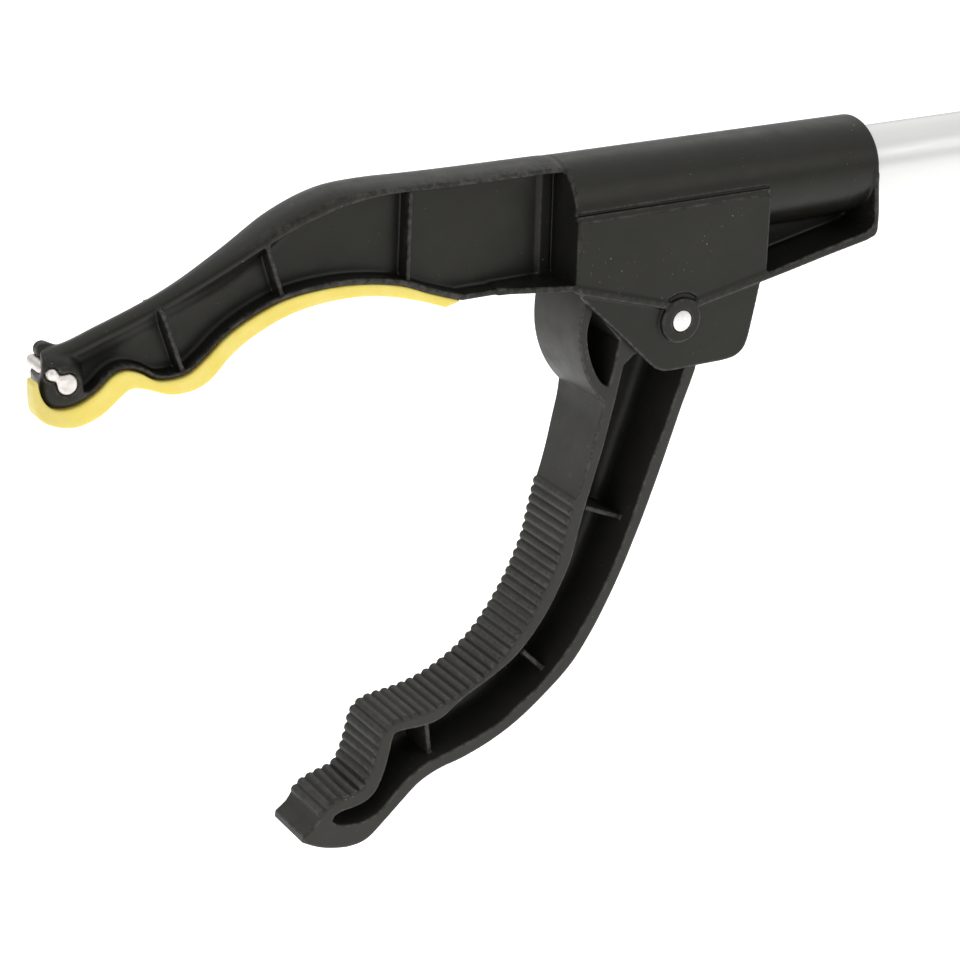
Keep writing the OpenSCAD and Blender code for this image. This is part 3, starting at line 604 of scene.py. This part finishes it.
def hollow(b):
    """The room for the moving jaw's hub and the linkage, and the tube's bore."""
    inner = HUB_HALF + 0.2
    length = between(b.x, -26.2, 20.6)
    room = both(length, both(b.side - inner, b.z - TUBE_Z, 0.2), 0.8)
    roof = both(length, tube(b, TUBE_Z, 9.8), 0.5)
    mouth = both(between(b.x, 19, 24), np.maximum(b.side - inner, b.z - 5), 0.5)
    bore = both(tube(b, TUBE_Z, TUBE_R), 20 - b.x, 0.2)
    return together([room, roof, mouth, bore])


def keyhole(b, grow):
    """The magnet's round, the pin's round, and the neck between them."""
    (big, r_big), (small, r_small) = KEYHOLE
    rounds = either(disc(b, big, r_big + grow), disc(b, small, r_small + grow), 0.4)
    return either(rounds, bar(b, big, small, 1.6 + 2 * grow), 0.9)


def fixed_jaw():
    """The fixed jaw's moulding: arm, housing, and the small lug behind the nose's pin."""
    b = Block((-151, -14.2, -13.4), (56.4, 14.2, 40.2), 0.3)
    solid = either(arm(b), housing(b), 0.5)
    solid = without(solid, hollow(b), 0.5)
    solid = without(solid, disc(b, (0, 0), PIVOT_HOLE_R), 0.2)
    lug = both(disc(b, (-145.4, 11.6), 1.7), between(b.y, 2.4, 5.4), 0.8)
    solid = either(solid, lug, 1.4)
    solid = without(solid, keyhole(b, 0.1), 0.4)
    obj = moulded("fixed_jaw_moulding", b, solid, JAW, 0.22)
    finish_piece(obj, FIXED, BLACK, "black_plastic", "fixed_jaw")


def tip_metal():
    """The magnet and wire pin in the tip: a bright keyhole shape with a soft, uneven face."""
    b = Block((-150, -8.4, 3), (-140.5, 8.4, 12.6), 0.16)
    dent = 0.06 * np.sin(1.9 * b.x + 0.6) * np.cos(2.3 * b.z)
    solid = both(keyhole(b, 0.0), b.side - (ARM_HALF - 0.1 + dent), 1.0)
    cross_pin = both(disc(b, KEYHOLE[1][0], CROSS_PIN_R), between(b.y, -1, 5.8), 1.1)
    solid = either(solid, cross_pin, 0.3)
    obj = moulded("tip_magnet_and_pin", b, solid, JAW, 0.5)
    finish_piece(obj, FIXED, NICKEL, "magnet", "tip_magnet", "tip_wire_pin")


def grip_pad():
    """The soft pad under the fixed jaw, with rounded edges."""
    b = Block((-154.6, -7.2, -4), (-51, 7.2, 19.6), 0.25)
    shape = outline(b, smooth(UNDER[1:])[::-1] + smooth(PAD_FACE[1:]))
    half = ARM_HALF - 0.35 * ease(-b.x, 60, 150)
    solid = both(both(shape, b.side - half, 0.7), nose(b, 6.8, -1, NOSE_SLANT), 1.0)
    obj = moulded("upper_grip_pad_rubber", b, solid, JAW, 0.35)
    finish_piece(obj, FIXED, YELLOW, "yellow_rubber", "upper_grip_pad")


def moving_jaw():
    """The moving jaw: drum, ribbed gripping face, open side pocket, and lever."""
    b = Block((-94.5, -10.6, -116), (29, 10.6, 32.5), 0.3)
    face, back = smooth(GRIP_FACE), smooth(BACK_FACE)
    drum = arc((0, 0), DRUM_R, 157, 224.3, 40)
    hub = arc((0, 0), HUB_R, -12, 70, 16) + [(-4, 8)]
    body = outline(b, face + back + [(8.6, -5)] + hub + drum)
    ribs = together(disc(b, (x - GRIP_RIB_SINK * dz, z + GRIP_RIB_SINK * dx), GRIP_RIB_R)
                    for (x, z), (dx, dz) in zip(*evenly(face, 24.6, 6.2, GRIP_RIB_PITCH)))
    half = np.interp(-b.z, JAW_DEPTHS, JAW_HALVES)
    solid = both(body, b.side - half, 0.55)
    solid = either(solid, both(ribs, b.side - (half - 0.1), 0.6), 0.08)
    depth = b.y - POCKET_FLOOR
    pocket = both(outline(b, smooth(POCKET_FRONT) + smooth(POCKET_BACK)), depth, 3.0)
    lens = both(outline(b, smooth(LENS)), depth, 1.6)
    solid = without(without(solid, pocket, 0.45), lens, 0.6)
    for foot, head in JAW_RIBS:
        rib = both(bar(b, foot, head, 1.15), between(b.y, -4.6, POCKET_FLOOR + 0.4), 0.4)
        solid = either(solid, rib, 0.7)
    solid = either(solid, horn(b), 0.8)
    solid = without(solid, disc(b, (0, 0), BUSH_HOLE_R), 0.2)
    obj = moulded("moving_jaw_moulding", b, solid, JAW, 0.28)
    finish_piece(obj, LOWER, GREY, "dark_grey_plastic", "moving_jaw")


def horn(b):
    """The lever above the moving jaw's hub, with the slot for the rod's pin."""
    cos, sin = math.cos(LEVER_ANGLE), math.sin(LEVER_ANGLE)
    high = TUBE_Z / cos
    x = b.x * cos + b.z * sin
    z = b.z * cos - b.x * sin
    eye_r, foot_r, slot_r = 4.4, 7.5, 1.84
    taper = eye_r + (foot_r - eye_r) * ease(z, 20, 0)
    shank = both(np.abs(x) - taper, between(z, 0, high), 0.4)
    solid = np.minimum(shank, np.hypot(x, z - high) - eye_r)
    slot_z = np.clip(z, TUBE_Z - 0.3, high + 0.3)
    slot = np.hypot(x, z - slot_z) - slot_r
    return both(without(solid, slot, 0.4), b.side - LEVER_HALF, 0.5)


# ---------------------------------------------------------------- handle outlines, from the grip's centre

SHELL = [(-110, 62.4), (-98, 63.6), (-76, 66.4), (-40, 68), (-5, 67.8), (14, 66), (26, 62),
         (35, 57), (37.5, 53.4), (34, 50.4), (26, 46), (20.4, 39), (17.6, 28), (17, 14), (17, 0),
         (15.5, -14), (12.5, -28), (8.5, -42), (4.4, -52), (-2, -57.5), (-14, -58.6),
         (-28, -54.5), (-42, -48.8), (-47.8, -42), (-48, -33), (-44.4, -26.6), (-37, -24),
         (-28, -23.4), (-23, -19.6), (-19.6, -11), (-17, 0), (-15.4, 12), (-15, 22),
         (-16.4, 29.4), (-20, 33), (-38, 33.4), (-58, 33.6), (-74, 34.8), (-92, 36.6),
         (-110, 37.6)]
PALM_FACE = [(10.4, -42.6), (15.2, -28.4), (18.3, -14), (20, 0), (20, 14), (20.8, 27.4),
             (23.4, 37.4), (28.6, 44), (34.2, 48.2)]
GRIP_PANEL = [(-9.5, 22), (11, 24), (12, 2), (9.8, -18), (5.4, -32.5), (-8, -33.5), (-14, -20),
              (-12.5, -6), (-10.6, 8)]
BARREL_PANEL = [(-78, 40), (-20, 38.6), (4, 39.4), (20, 50), (10, 55), (-30, 56.4), (-78, 55.4)]
SCREWS = [(-74, 61.4), (10, 58.5), (1, 19), (-3, -24)]
HANG_HOLE = (-3, -45)
LOCK_PIN = (-98, 55.4)
TRIGGER_PIN = (-37, -35)
AXIS_Z = 50.0
GRIP_HALF = 13.0
TRIGGER_ROOM = 7.2
TUBE_REAR = -84.0
WALL, SUNK = 2.2, 0.5
FRONT_COLLAR, REAR_GUIDE = (-182.0, -177.0), (-122.0, -112.0)

# Trigger outlines, from its pivot, with the lever upright.
LEVER_FRONT = [(-7, 1), (-8.6, 9), (-9.1, 15), (-9.2, 20), (-8.4, 32), (-8.8, 44),
               (-11.4, 54), (-14.6, 60)]
LEVER_BACK = [(6.4, 58), (6.4, 44), (6, 30), (6, 16), (7, 1)]
LEVER_PAD = [(-16.8, 59.4), (-14, 52.6), (-11.6, 44.4), (-11, 38), (-11.4, 31), (-12, 22),
             (-11.4, 16.6)]
LEVER_POCKET = [(-4.6, 12), (-5.6, 22), (-5.2, 32), (-5.4, 44), (-7, 54), (3.4, 54), (3.4, 44),
                (3, 30), (3, 16), (2, 12)]
LEVER = 85.0
ROD_TRAVEL = 2 * TUBE_Z * math.tan(LEVER_ANGLE)
LEVER_TILT = math.atan(ROD_TRAVEL / 2 / LEVER)


def leaning(points):
    """Points of the trigger, turned from upright to where it rests."""
    c, s = math.cos(LEVER_TILT), math.sin(LEVER_TILT)
    return [(x * c - z * s, x * s + z * c) for x, z in points]


def shell_outside(b, shape):
    """The handle's outside: a round barrel with two rings, a ridged grip and a sunk panel."""
    solid = both(shape, b.side - GRIP_HALF, 6.0)
    barrel_r = 14.4 + 9 * ease(b.x, -108, -60)
    solid = both(solid, np.minimum(tube(b, AXIS_Z, barrel_r), b.z - 36), 1.0)
    skin = -SUNK - solid
    for x in (-104.0, -101.5):
        solid = without(solid, both(between(b.x, x, x + 0.9), skin, 0.2), 0.3)
    ridges = GRIP_HALF - SUNK + 0.25 * np.cos(b.z * 2 * math.pi / 3.6)
    solid = without(solid, both(outline(b, smooth(GRIP_PANEL, 3)), ridges - b.side, 0.4), 0.3)
    panel = both(outline(b, smooth(BARREL_PANEL, 3)), GRIP_HALF - SUNK - b.side, 0.4)
    return without(solid, panel, 0.3)


def shell_inside(b, shape):
    """The hollow in the handle, behind the tube's end and round the bosses and the pin's seat."""
    bosses = together([disc(b, HANG_HOLE, 6.6)] + [disc(b, screw, 3.6) for screw in SCREWS])
    seat = both(disc(b, TRIGGER_PIN, 6), TRIGGER_ROOM - b.side, 0.2)
    inside = both(both(shape + WALL, b.side - GRIP_HALF + WALL, 2.5), TUBE_REAR + 2.4 - b.x, 0.3)
    return without(without(inside, bosses, 0.5), seat, 0.5)


def shell_openings(b):
    """The tube's bore, the rod's slot, the trigger's room, and the two pins' holes."""
    bore = np.maximum(tube(b, AXIS_Z, TUBE_R), b.x - TUBE_REAR)
    slot = np.maximum(np.maximum(between(b.x, -56, -18), between(b.z, 26, 40)), b.side - 4)
    room = np.maximum(between(b.x, -50, -27.6), between(b.z, -40, -20))
    room = np.maximum(np.minimum(room, disc(b, TRIGGER_PIN, 8.2)), b.side - TRIGGER_ROOM)
    return bore, slot, room, disc(b, TRIGGER_PIN, 2.05), disc(b, LOCK_PIN, 1.55)


def half_shell(name, node, way):
    """One half of the handle. way is -1 for the side with the screw heads, and 1 for the other."""
    ends = sorted((-0.7 * way, (GRIP_HALF + 0.6) * way))
    b = Block((-111, ends[0], -60), (39, ends[1], 69.4), 0.4)
    shape = outline(b, smooth(SHELL, 4))
    solid = without(shell_outside(b, shape), shell_inside(b, shape), 0.4)
    for cut in shell_openings(b):
        solid = without(solid, cut, 0.5)
    solid = without(solid, disc(b, HANG_HOLE, 4), 1.6)
    if way < 0:
        for screw in SCREWS:
            solid = without(solid, disc(b, screw, 1.7), 0.2)
            solid = without(solid, both(disc(b, screw, 3.2), GRIP_HALF - 3 - b.side, 0.2), 0.4)
    solid = both(solid, 0.03 - way * b.y, 0.6)
    obj = moulded(name, b, solid, GRIP, 0.2)
    finish_piece(obj, FIXED, BLACK, "black_plastic", node)


def grooved(b, solid, depth, half, low, high):
    """The pad with wavy grooves as deep as depth in its face, inside a lane from low to high."""
    waves = 0.3 - 0.45 * np.cos(b.z * 2 * math.pi / 4.2)
    lane = both(b.side - half, between(b.z, low, high), 1.0)
    return without(solid, both(-depth - solid + waves * 0.6, lane, 0.4), 0.4)


def palm_pad():
    """The soft pad on the back of the grip, on the shells' own outline."""
    b = Block((7, -10.2, -44), (36, 10.2, 51), 0.3)
    shape = outline(b, smooth(SHELL, 3)[27:52] + smooth(PALM_FACE, 3))
    solid = grooved(b, both(shape, b.side - 9.5, 2.4), 0.55, 6.6, -34, 38)
    obj = moulded("palm_pad_rubber", b, solid, GRIP, 0.3)
    finish_piece(obj, FIXED, YELLOW, "yellow_rubber", "palm_pad")


def trigger():
    """The trigger's lever: a ribbed finger bar below a flat blade with the rod's slot."""
    b = Block((-31, -8.4, -8), (9, 8.4, 92), 0.3)
    top = [(-12.4, 62.6), (-5, 64), (4.6, 63)]
    shape = smooth(LEVER_FRONT, 4) + top + smooth(LEVER_BACK) + arc((0, 0), 7, 0, -180)
    solid = both(outline(b, leaning(shape)), b.side - 7, 1.8)
    pocket = both(outline(b, leaning(smooth(LEVER_POCKET, 3))), WEB_HALF - b.side, 2.0)
    solid = without(solid, pocket, 0.4)
    for z in (20.0, 32.0, 44.0):
        foot, head = leaning([(-8, z - 2), (6, z + 2)])
        solid = either(solid, both(bar(b, foot, head, 1.2), b.side - 6.0, 0.4), 0.6)
    eye_z = LEVER / math.cos(LEVER_TILT)
    eye = leaning([(0, eye_z)])[0]
    blade = outline(b, leaning([(-4.6, 60), (-4.6, LEVER), (4.6, LEVER), (4.6, 60)]))
    blade = both(np.minimum(blade, disc(b, eye, 4.6)), b.side - LEVER_HALF, 0.5)
    solid = either(solid, blade, 0.6)
    slot_r = 1.62
    foot, head = leaning([(0, LEVER - 0.3), (0, eye_z + 0.3)])
    slot = together([disc(b, foot, slot_r), disc(b, head, slot_r), bar(b, foot, head, 2 * slot_r)])
    solid = without(without(solid, slot, 0.3), disc(b, (0, 0), 3.2), 0.3)
    obj = moulded("trigger_lever_moulding", b, solid, TRIGGER, 0.28)
    finish_piece(obj, LEVER_BODY, BLACK, "black_plastic", "trigger_lever")


def trigger_pad():
    """The soft pad on the front of the trigger."""
    b = Block((-30, -8.4, 12), (-6, 8.4, 62), 0.25)
    shape = outline(b, leaning(smooth(LEVER_FRONT, 4)[8:] + smooth(LEVER_PAD, 4)))
    solid = grooved(b, both(shape, b.side - 7.6, 1.6), 0.5, 5.4, 18, 52)
    obj = moulded("trigger_pad_rubber", b, solid, TRIGGER, 0.3)
    finish_piece(obj, LEVER_BODY, YELLOW, "yellow_rubber", "trigger_pad")


def clevis(name, node, pin_x, way):
    """A fork for the rod's end, with a round shank on the side way."""
    b = Block((-5, -6.2, -5), (21, 6.2, 5), 0.22)
    outer = 4.2
    flat = np.maximum(between(b.x, 0, 10.8), np.abs(b.z) - outer)
    ears = both(np.minimum(disc(b, (0, 0), outer), flat), b.side - 5.4, 0.7)
    gap = both(b.side - (LEVER_HALF + 0.2), b.x - 8, 1.2)
    solid = without(ears, gap, 0.4)
    shank = both(tube(b, 0, outer - 0.5 * ease(b.x, 12, 13)), between(b.x, 8, 20), 0.8)
    solid = either(solid, shank, 0.6)
    solid = without(solid, disc(b, (0, 0), 1.5), 0.3)
    solid = without(solid, both(tube(b, 0, 2.0), 12 - b.x, 0.2), 0.4)
    obj = moulded(name, b, solid, (0, 0, 0), 0.35)
    if way < 0:
        obj.data.transform(Matrix.Rotation(math.pi, 4, "Z"))
    obj.data.transform(Matrix.Translation((pin_x * MM, 0, AXIS_Z * MM)))
    finish_piece(obj, ROD, GREY, "dark_grey_plastic", node)


# ---------------------------------------------------------------- turned parts

def turned(name, axis, centre, profile, sides=64, bevel=0.25):
    """A part turned about X or Y through centre. profile is a loop of (along, radius)."""
    loop = []
    count = len(profile)
    for i in range(count):
        p, back, ahead = (np.array(profile[k % count], float) for k in (i, i - 1, i + 1))
        into, out = p - back, ahead - p
        cut = min(bevel, np.linalg.norm(into) / 3, np.linalg.norm(out) / 3)
        if p[1] < 1e-6:
            loop.append(p)
            continue
        start, end = p - into / np.linalg.norm(into) * cut, p + out / np.linalg.norm(out) * cut
        loop += [start, start * 0.25 + p * 0.5 + end * 0.25, end]
    angles = np.arange(sides) * 2 * math.pi / sides
    points, faces = [], []
    for along, radius in loop:
        for a in angles:
            u, v = radius * math.cos(a), radius * math.sin(a)
            x, y, z = (along, u, v) if axis == "X" else (u, along, -v)
            points.append(((centre[0] + x) * MM, y * MM, (centre[1] + z) * MM))
    rings = len(loop)
    for i in range(rings):
        j = (i + 1) % rings
        for k in range(sides):
            m = (k + 1) % sides
            faces.append((i * sides + k, j * sides + k, j * sides + m, i * sides + m))
    mesh = bpy.data.meshes.new(name)
    mesh.from_pydata(points, [], faces)
    edit = bmesh.new()
    edit.from_mesh(mesh)
    bmesh.ops.remove_doubles(edit, verts=edit.verts, dist=1e-7)
    bmesh.ops.dissolve_degenerate(edit, edges=edit.edges, dist=1e-7)
    bmesh.ops.recalc_face_normals(edit, faces=edit.faces)
    edit.to_mesh(mesh)
    edit.free()
    mesh.polygons.foreach_set("use_smooth", [True] * len(mesh.polygons))
    mesh.set_sharp_from_angle(angle=math.radians(38))
    return new_object(name, mesh)


def rod_profile(start, end, radius):
    """The loop of a plain rod."""
    return [(start, 0), (start, radius), (end, radius), (end, 0)]


def ring_profile(start, end, inner, outer):
    """The loop of a plain ring or tube."""
    return [(start, inner), (start, outer), (end, outer), (end, inner)]


def turned_parts():
    """The tube, the rod, the guides, the collar, and every pin and bush."""
    jaw = (JAW.x / MM, JAW.z / MM)
    pivot = (TRIGGER.x / MM, TRIGGER.z / MM)
    front_pin = (jaw[0] - ROD_TRAVEL / 2, AXIS_Z)
    rear_pin = (pivot[0] - ROD_TRAVEL / 2, AXIS_Z)
    axis = (0, AXIS_Z)
    tube_front = jaw[0] + 22
    guide = tube_front + 14
    rod_r, bore_r, guide_r = 2.0, 2.05, 6.95

    def add(name, node, direction, centre, profile, body, finish, **shape):
        obj = turned(name, direction, centre, profile, **shape)
        finish_piece(obj, body, *finish, node)

    add("drawn_tube", "shaft_tube", "X", axis, ring_profile(tube_front, TUBE_REAR, 7, TUBE_R),
        FIXED, (ALUMINIUM, "tube_aluminium"), sides=128)
    add("ground_pull_rod", "pull_rod", "X", axis,
        rod_profile(front_pin[0] + 10, rear_pin[0] - 10, rod_r), ROD, (PIN, "pin_steel"))
    add("front_guide_bush", "front_rod_guide", "X", axis,
        ring_profile(guide, guide + 10, bore_r, guide_r), FIXED, (NATURAL, "guide_plastic"))
    add("rear_guide_bush", "rear_rod_guide", "X", axis,
        ring_profile(*REAR_GUIDE, bore_r, guide_r), FIXED, (NATURAL, "guide_plastic"))
    add("spring_seat_collar", "spring_collar", "X", axis,
        ring_profile(*FRONT_COLLAR, rod_r, 5.6), ROD, (ZINC, "screw_steel"))
    add("jaw_pin", "jaw_pivot_pin", "Y", jaw,
        [(-13.1, 0), (-13.1, 2.5), (13.1, 2.5), (13.1, 2.2), (14.8, 2.2), (14.8, 0)],
        FIXED, (PIN, "pin_steel"), bevel=0.4)
    add("domed_push_nut", "pivot_push_nut", "Y", jaw,
        [(13.1, 2.2), (13.1, 4.6), (13.7, 4.6), (13.7, 3.4), (14.3, 3), (14.3, 2.2)],
        FIXED, (ZINC, "screw_steel"), bevel=0.2)
    for node, pin, name in (("front_clevis_pin", front_pin, "headed_pin_front"),
                            ("rear_clevis_pin", rear_pin, "headed_pin_rear")):
        add(name, node, "Y", pin,
            [(-6.6, 0), (-6.6, 2.5), (-5.6, 2.5), (-5.6, 1.5), (7.2, 1.5), (7.2, 0)],
            ROD, (PIN, "pin_steel"))
    add("trigger_pivot", "trigger_pin", "Y", pivot,
        [(-14, 0), (-14, 3.6), (-13, 3.6), (-13, 2), (13, 2), (13, 0)],
        FIXED, (PIN, "pin_steel"), bevel=0.35)
    add("trigger_pivot_bush", "trigger_bush", "Y", pivot, ring_profile(-7, 7, bore_r, 3.2),
        LEVER_BODY, (NATURAL, "guide_plastic"))
    add("tube_cross_pin", "tube_lock_pin", "Y", LOCK_PIN, rod_profile(-12.4, 12.4, 1.5),
        FIXED, (PIN, "pin_steel"), bevel=0.35)


def coil_spring():
    """The return spring: round wire with a closed turn at each end."""
    front, rear = FRONT_COLLAR[1], REAR_GUIDE[0]
    wire, radius, turns, steps, sides = 0.6, 4.6, 15, 28, 10
    seat, closed = wire + 0.2, 2 * wire + 0.1
    turn = np.linspace(0, turns, turns * steps + 1)
    along = np.interp(turn, [0, 1, turns - 1, turns],
                      [front + seat, front + seat + closed, rear - seat - closed, rear - seat])
    points = []
    for x, a in zip(along, turn * 2 * math.pi):
        for k in range(sides):
            b = 2 * math.pi * k / sides
            r = radius + wire * math.cos(b)
            points.append(((x + wire * math.sin(b)) * MM, r * math.cos(a) * MM,
                           (AXIS_Z + r * math.sin(a)) * MM))
    last_ring = (len(turn) - 1) * sides
    faces = [tuple(range(sides)), tuple(range(last_ring, last_ring + sides))[::-1]]
    for i in range(0, last_ring, sides):
        for k in range(sides):
            m = (k + 1) % sides
            faces.append((i + k, i + sides + k, i + sides + m, i + m))
    mesh = bpy.data.meshes.new("coil_spring")
    mesh.from_pydata(points, [], faces)
    mesh.polygons.foreach_set("use_smooth", [True] * len(mesh.polygons))
    mesh.set_sharp_from_angle(angle=math.radians(50))
    obj = new_object("coil_spring", mesh)
    finish_piece(obj, FIXED, SPRING, "spring_steel", "return_spring")
    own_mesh(obj)


# ---------------------------------------------------------------- camera, floor and light

def camera():
    """The photograph's view: a long lens, a little above, from the jaws' side."""
    yaw, pitch, roll = (math.radians(a) for a in (31.31, 22.23, 1.31))
    level = math.cos(pitch)
    ahead = Vector((math.sin(yaw) * level, math.cos(yaw) * level, -math.sin(pitch)))
    right = Vector((math.cos(yaw), -math.sin(yaw), 0))
    up = right.cross(ahead)
    right2 = math.cos(roll) * right + math.sin(roll) * up
    up2 = -math.sin(roll) * right + math.cos(roll) * up
    data = bpy.data.cameras.new("camera")
    data.lens = 99.9
    data.sensor_width = 36
    obj = new_object("camera", data)
    place = JAW + Vector((-332.0, -473.3, 191.7)) * MM
    turn = Matrix((right2, up2, -ahead)).transposed().to_4x4()
    obj.matrix_world = Matrix.Translation(place) @ turn
    bpy.context.scene.camera = obj


def area_light(name, place, aim, size, power):
    """A soft box at place that faces aim."""
    data = bpy.data.lights.new(name, "AREA")
    data.shape = "RECTANGLE"
    data.size, data.size_y = size
    data.energy = power
    turn = (aim - place).to_track_quat("-Z", "Y").to_matrix().to_4x4()
    new_object(name, data).matrix_world = Matrix.Translation(place) @ turn


def studio():
    """A plain pale floor well below, a sky that dims towards its top, and soft boxes."""
    world = bpy.data.worlds.new("studio")
    world.use_nodes = True
    nodes, links = world.node_tree.nodes, world.node_tree.links
    place = nodes.new("ShaderNodeTexCoord")
    split = nodes.new("ShaderNodeSeparateXYZ")
    fall = nodes.new("ShaderNodeMapRange")
    fall.interpolation_type = "SMOOTHSTEP"
    for key, value in {"From Min": 0.38, "From Max": 0.9, "To Min": 0.68, "To Max": 0.14}.items():
        fall.inputs[key].default_value = value
    links.new(place.outputs["Generated"], split.inputs[0])
    links.new(split.outputs["Z"], fall.inputs["Value"])
    links.new(fall.outputs["Result"], nodes["Background"].inputs["Strength"])
    nodes["Background"].inputs["Color"].default_value = (1, 1, 1, 1)
    bpy.context.scene.world = world
    f = Finish("floor")
    pale = f.mix(f.span(f.noise(300, 2, 0.5), 0.3, 0.7), (0.9, 0.9, 0.9, 1), (0.93, 0.93, 0.93, 1))
    mesh = bpy.data.meshes.new("floor")
    reach, depth = 30.0, -0.5
    mesh.from_pydata([(-reach, -reach, depth), (reach, -reach, depth), (reach, reach, depth),
                      (-reach, reach, depth)], [], [(0, 1, 2, 3)])
    mesh.materials.append(f.done(pale, 0.9, [], Emission_Color=(1, 1, 1, 1), Emission_Strength=0.7))
    new_object("floor", mesh)
    above = JAW + Vector((0.6, 1.0, 0))
    area_light("top_box", above + Vector((0, 0, 2.2)), above, (5, 5), 70)
    area_light("side_box", JAW + Vector((1.25, -2.0, 1.3)), JAW, (1.3, 1.4), 8)
    area_light("left_box", JAW + Vector((-1.9, -0.7, 0.9)), JAW, (1.2, 1.2), 7.5)
    view = bpy.context.scene.view_settings
    view.view_transform = "Standard"
    view.look = "None"


camera()
studio()
fixed_jaw()
tip_metal()
grip_pad()
moving_jaw()
half_shell("left_shell_moulding", "handle_left_shell", -1)
half_shell("right_shell_moulding", "handle_right_shell", 1)
palm_pad()
trigger()
trigger_pad()
clevis("front_fork", "front_clevis", JAW.x / MM - ROD_TRAVEL / 2, 1)
clevis("rear_fork", "rear_clevis", TRIGGER.x / MM - ROD_TRAVEL / 2, -1)
turned_parts()
coil_spring()

# CAD nodes that keep their own shape and only get a finish.
CARRIED = {
    "shell_screws": (ZINC, "screw_steel"),
    "jaw_bushes": (BRONZE, "bush_brass"),
    "clevis_clips": (ZINC, "screw_steel"),
}
for node, (material, slot_name) in CARRIED.items():
    obj = frame["nodes"][node]
    obj.data.materials.clear()
    obj.data.materials.append(material)
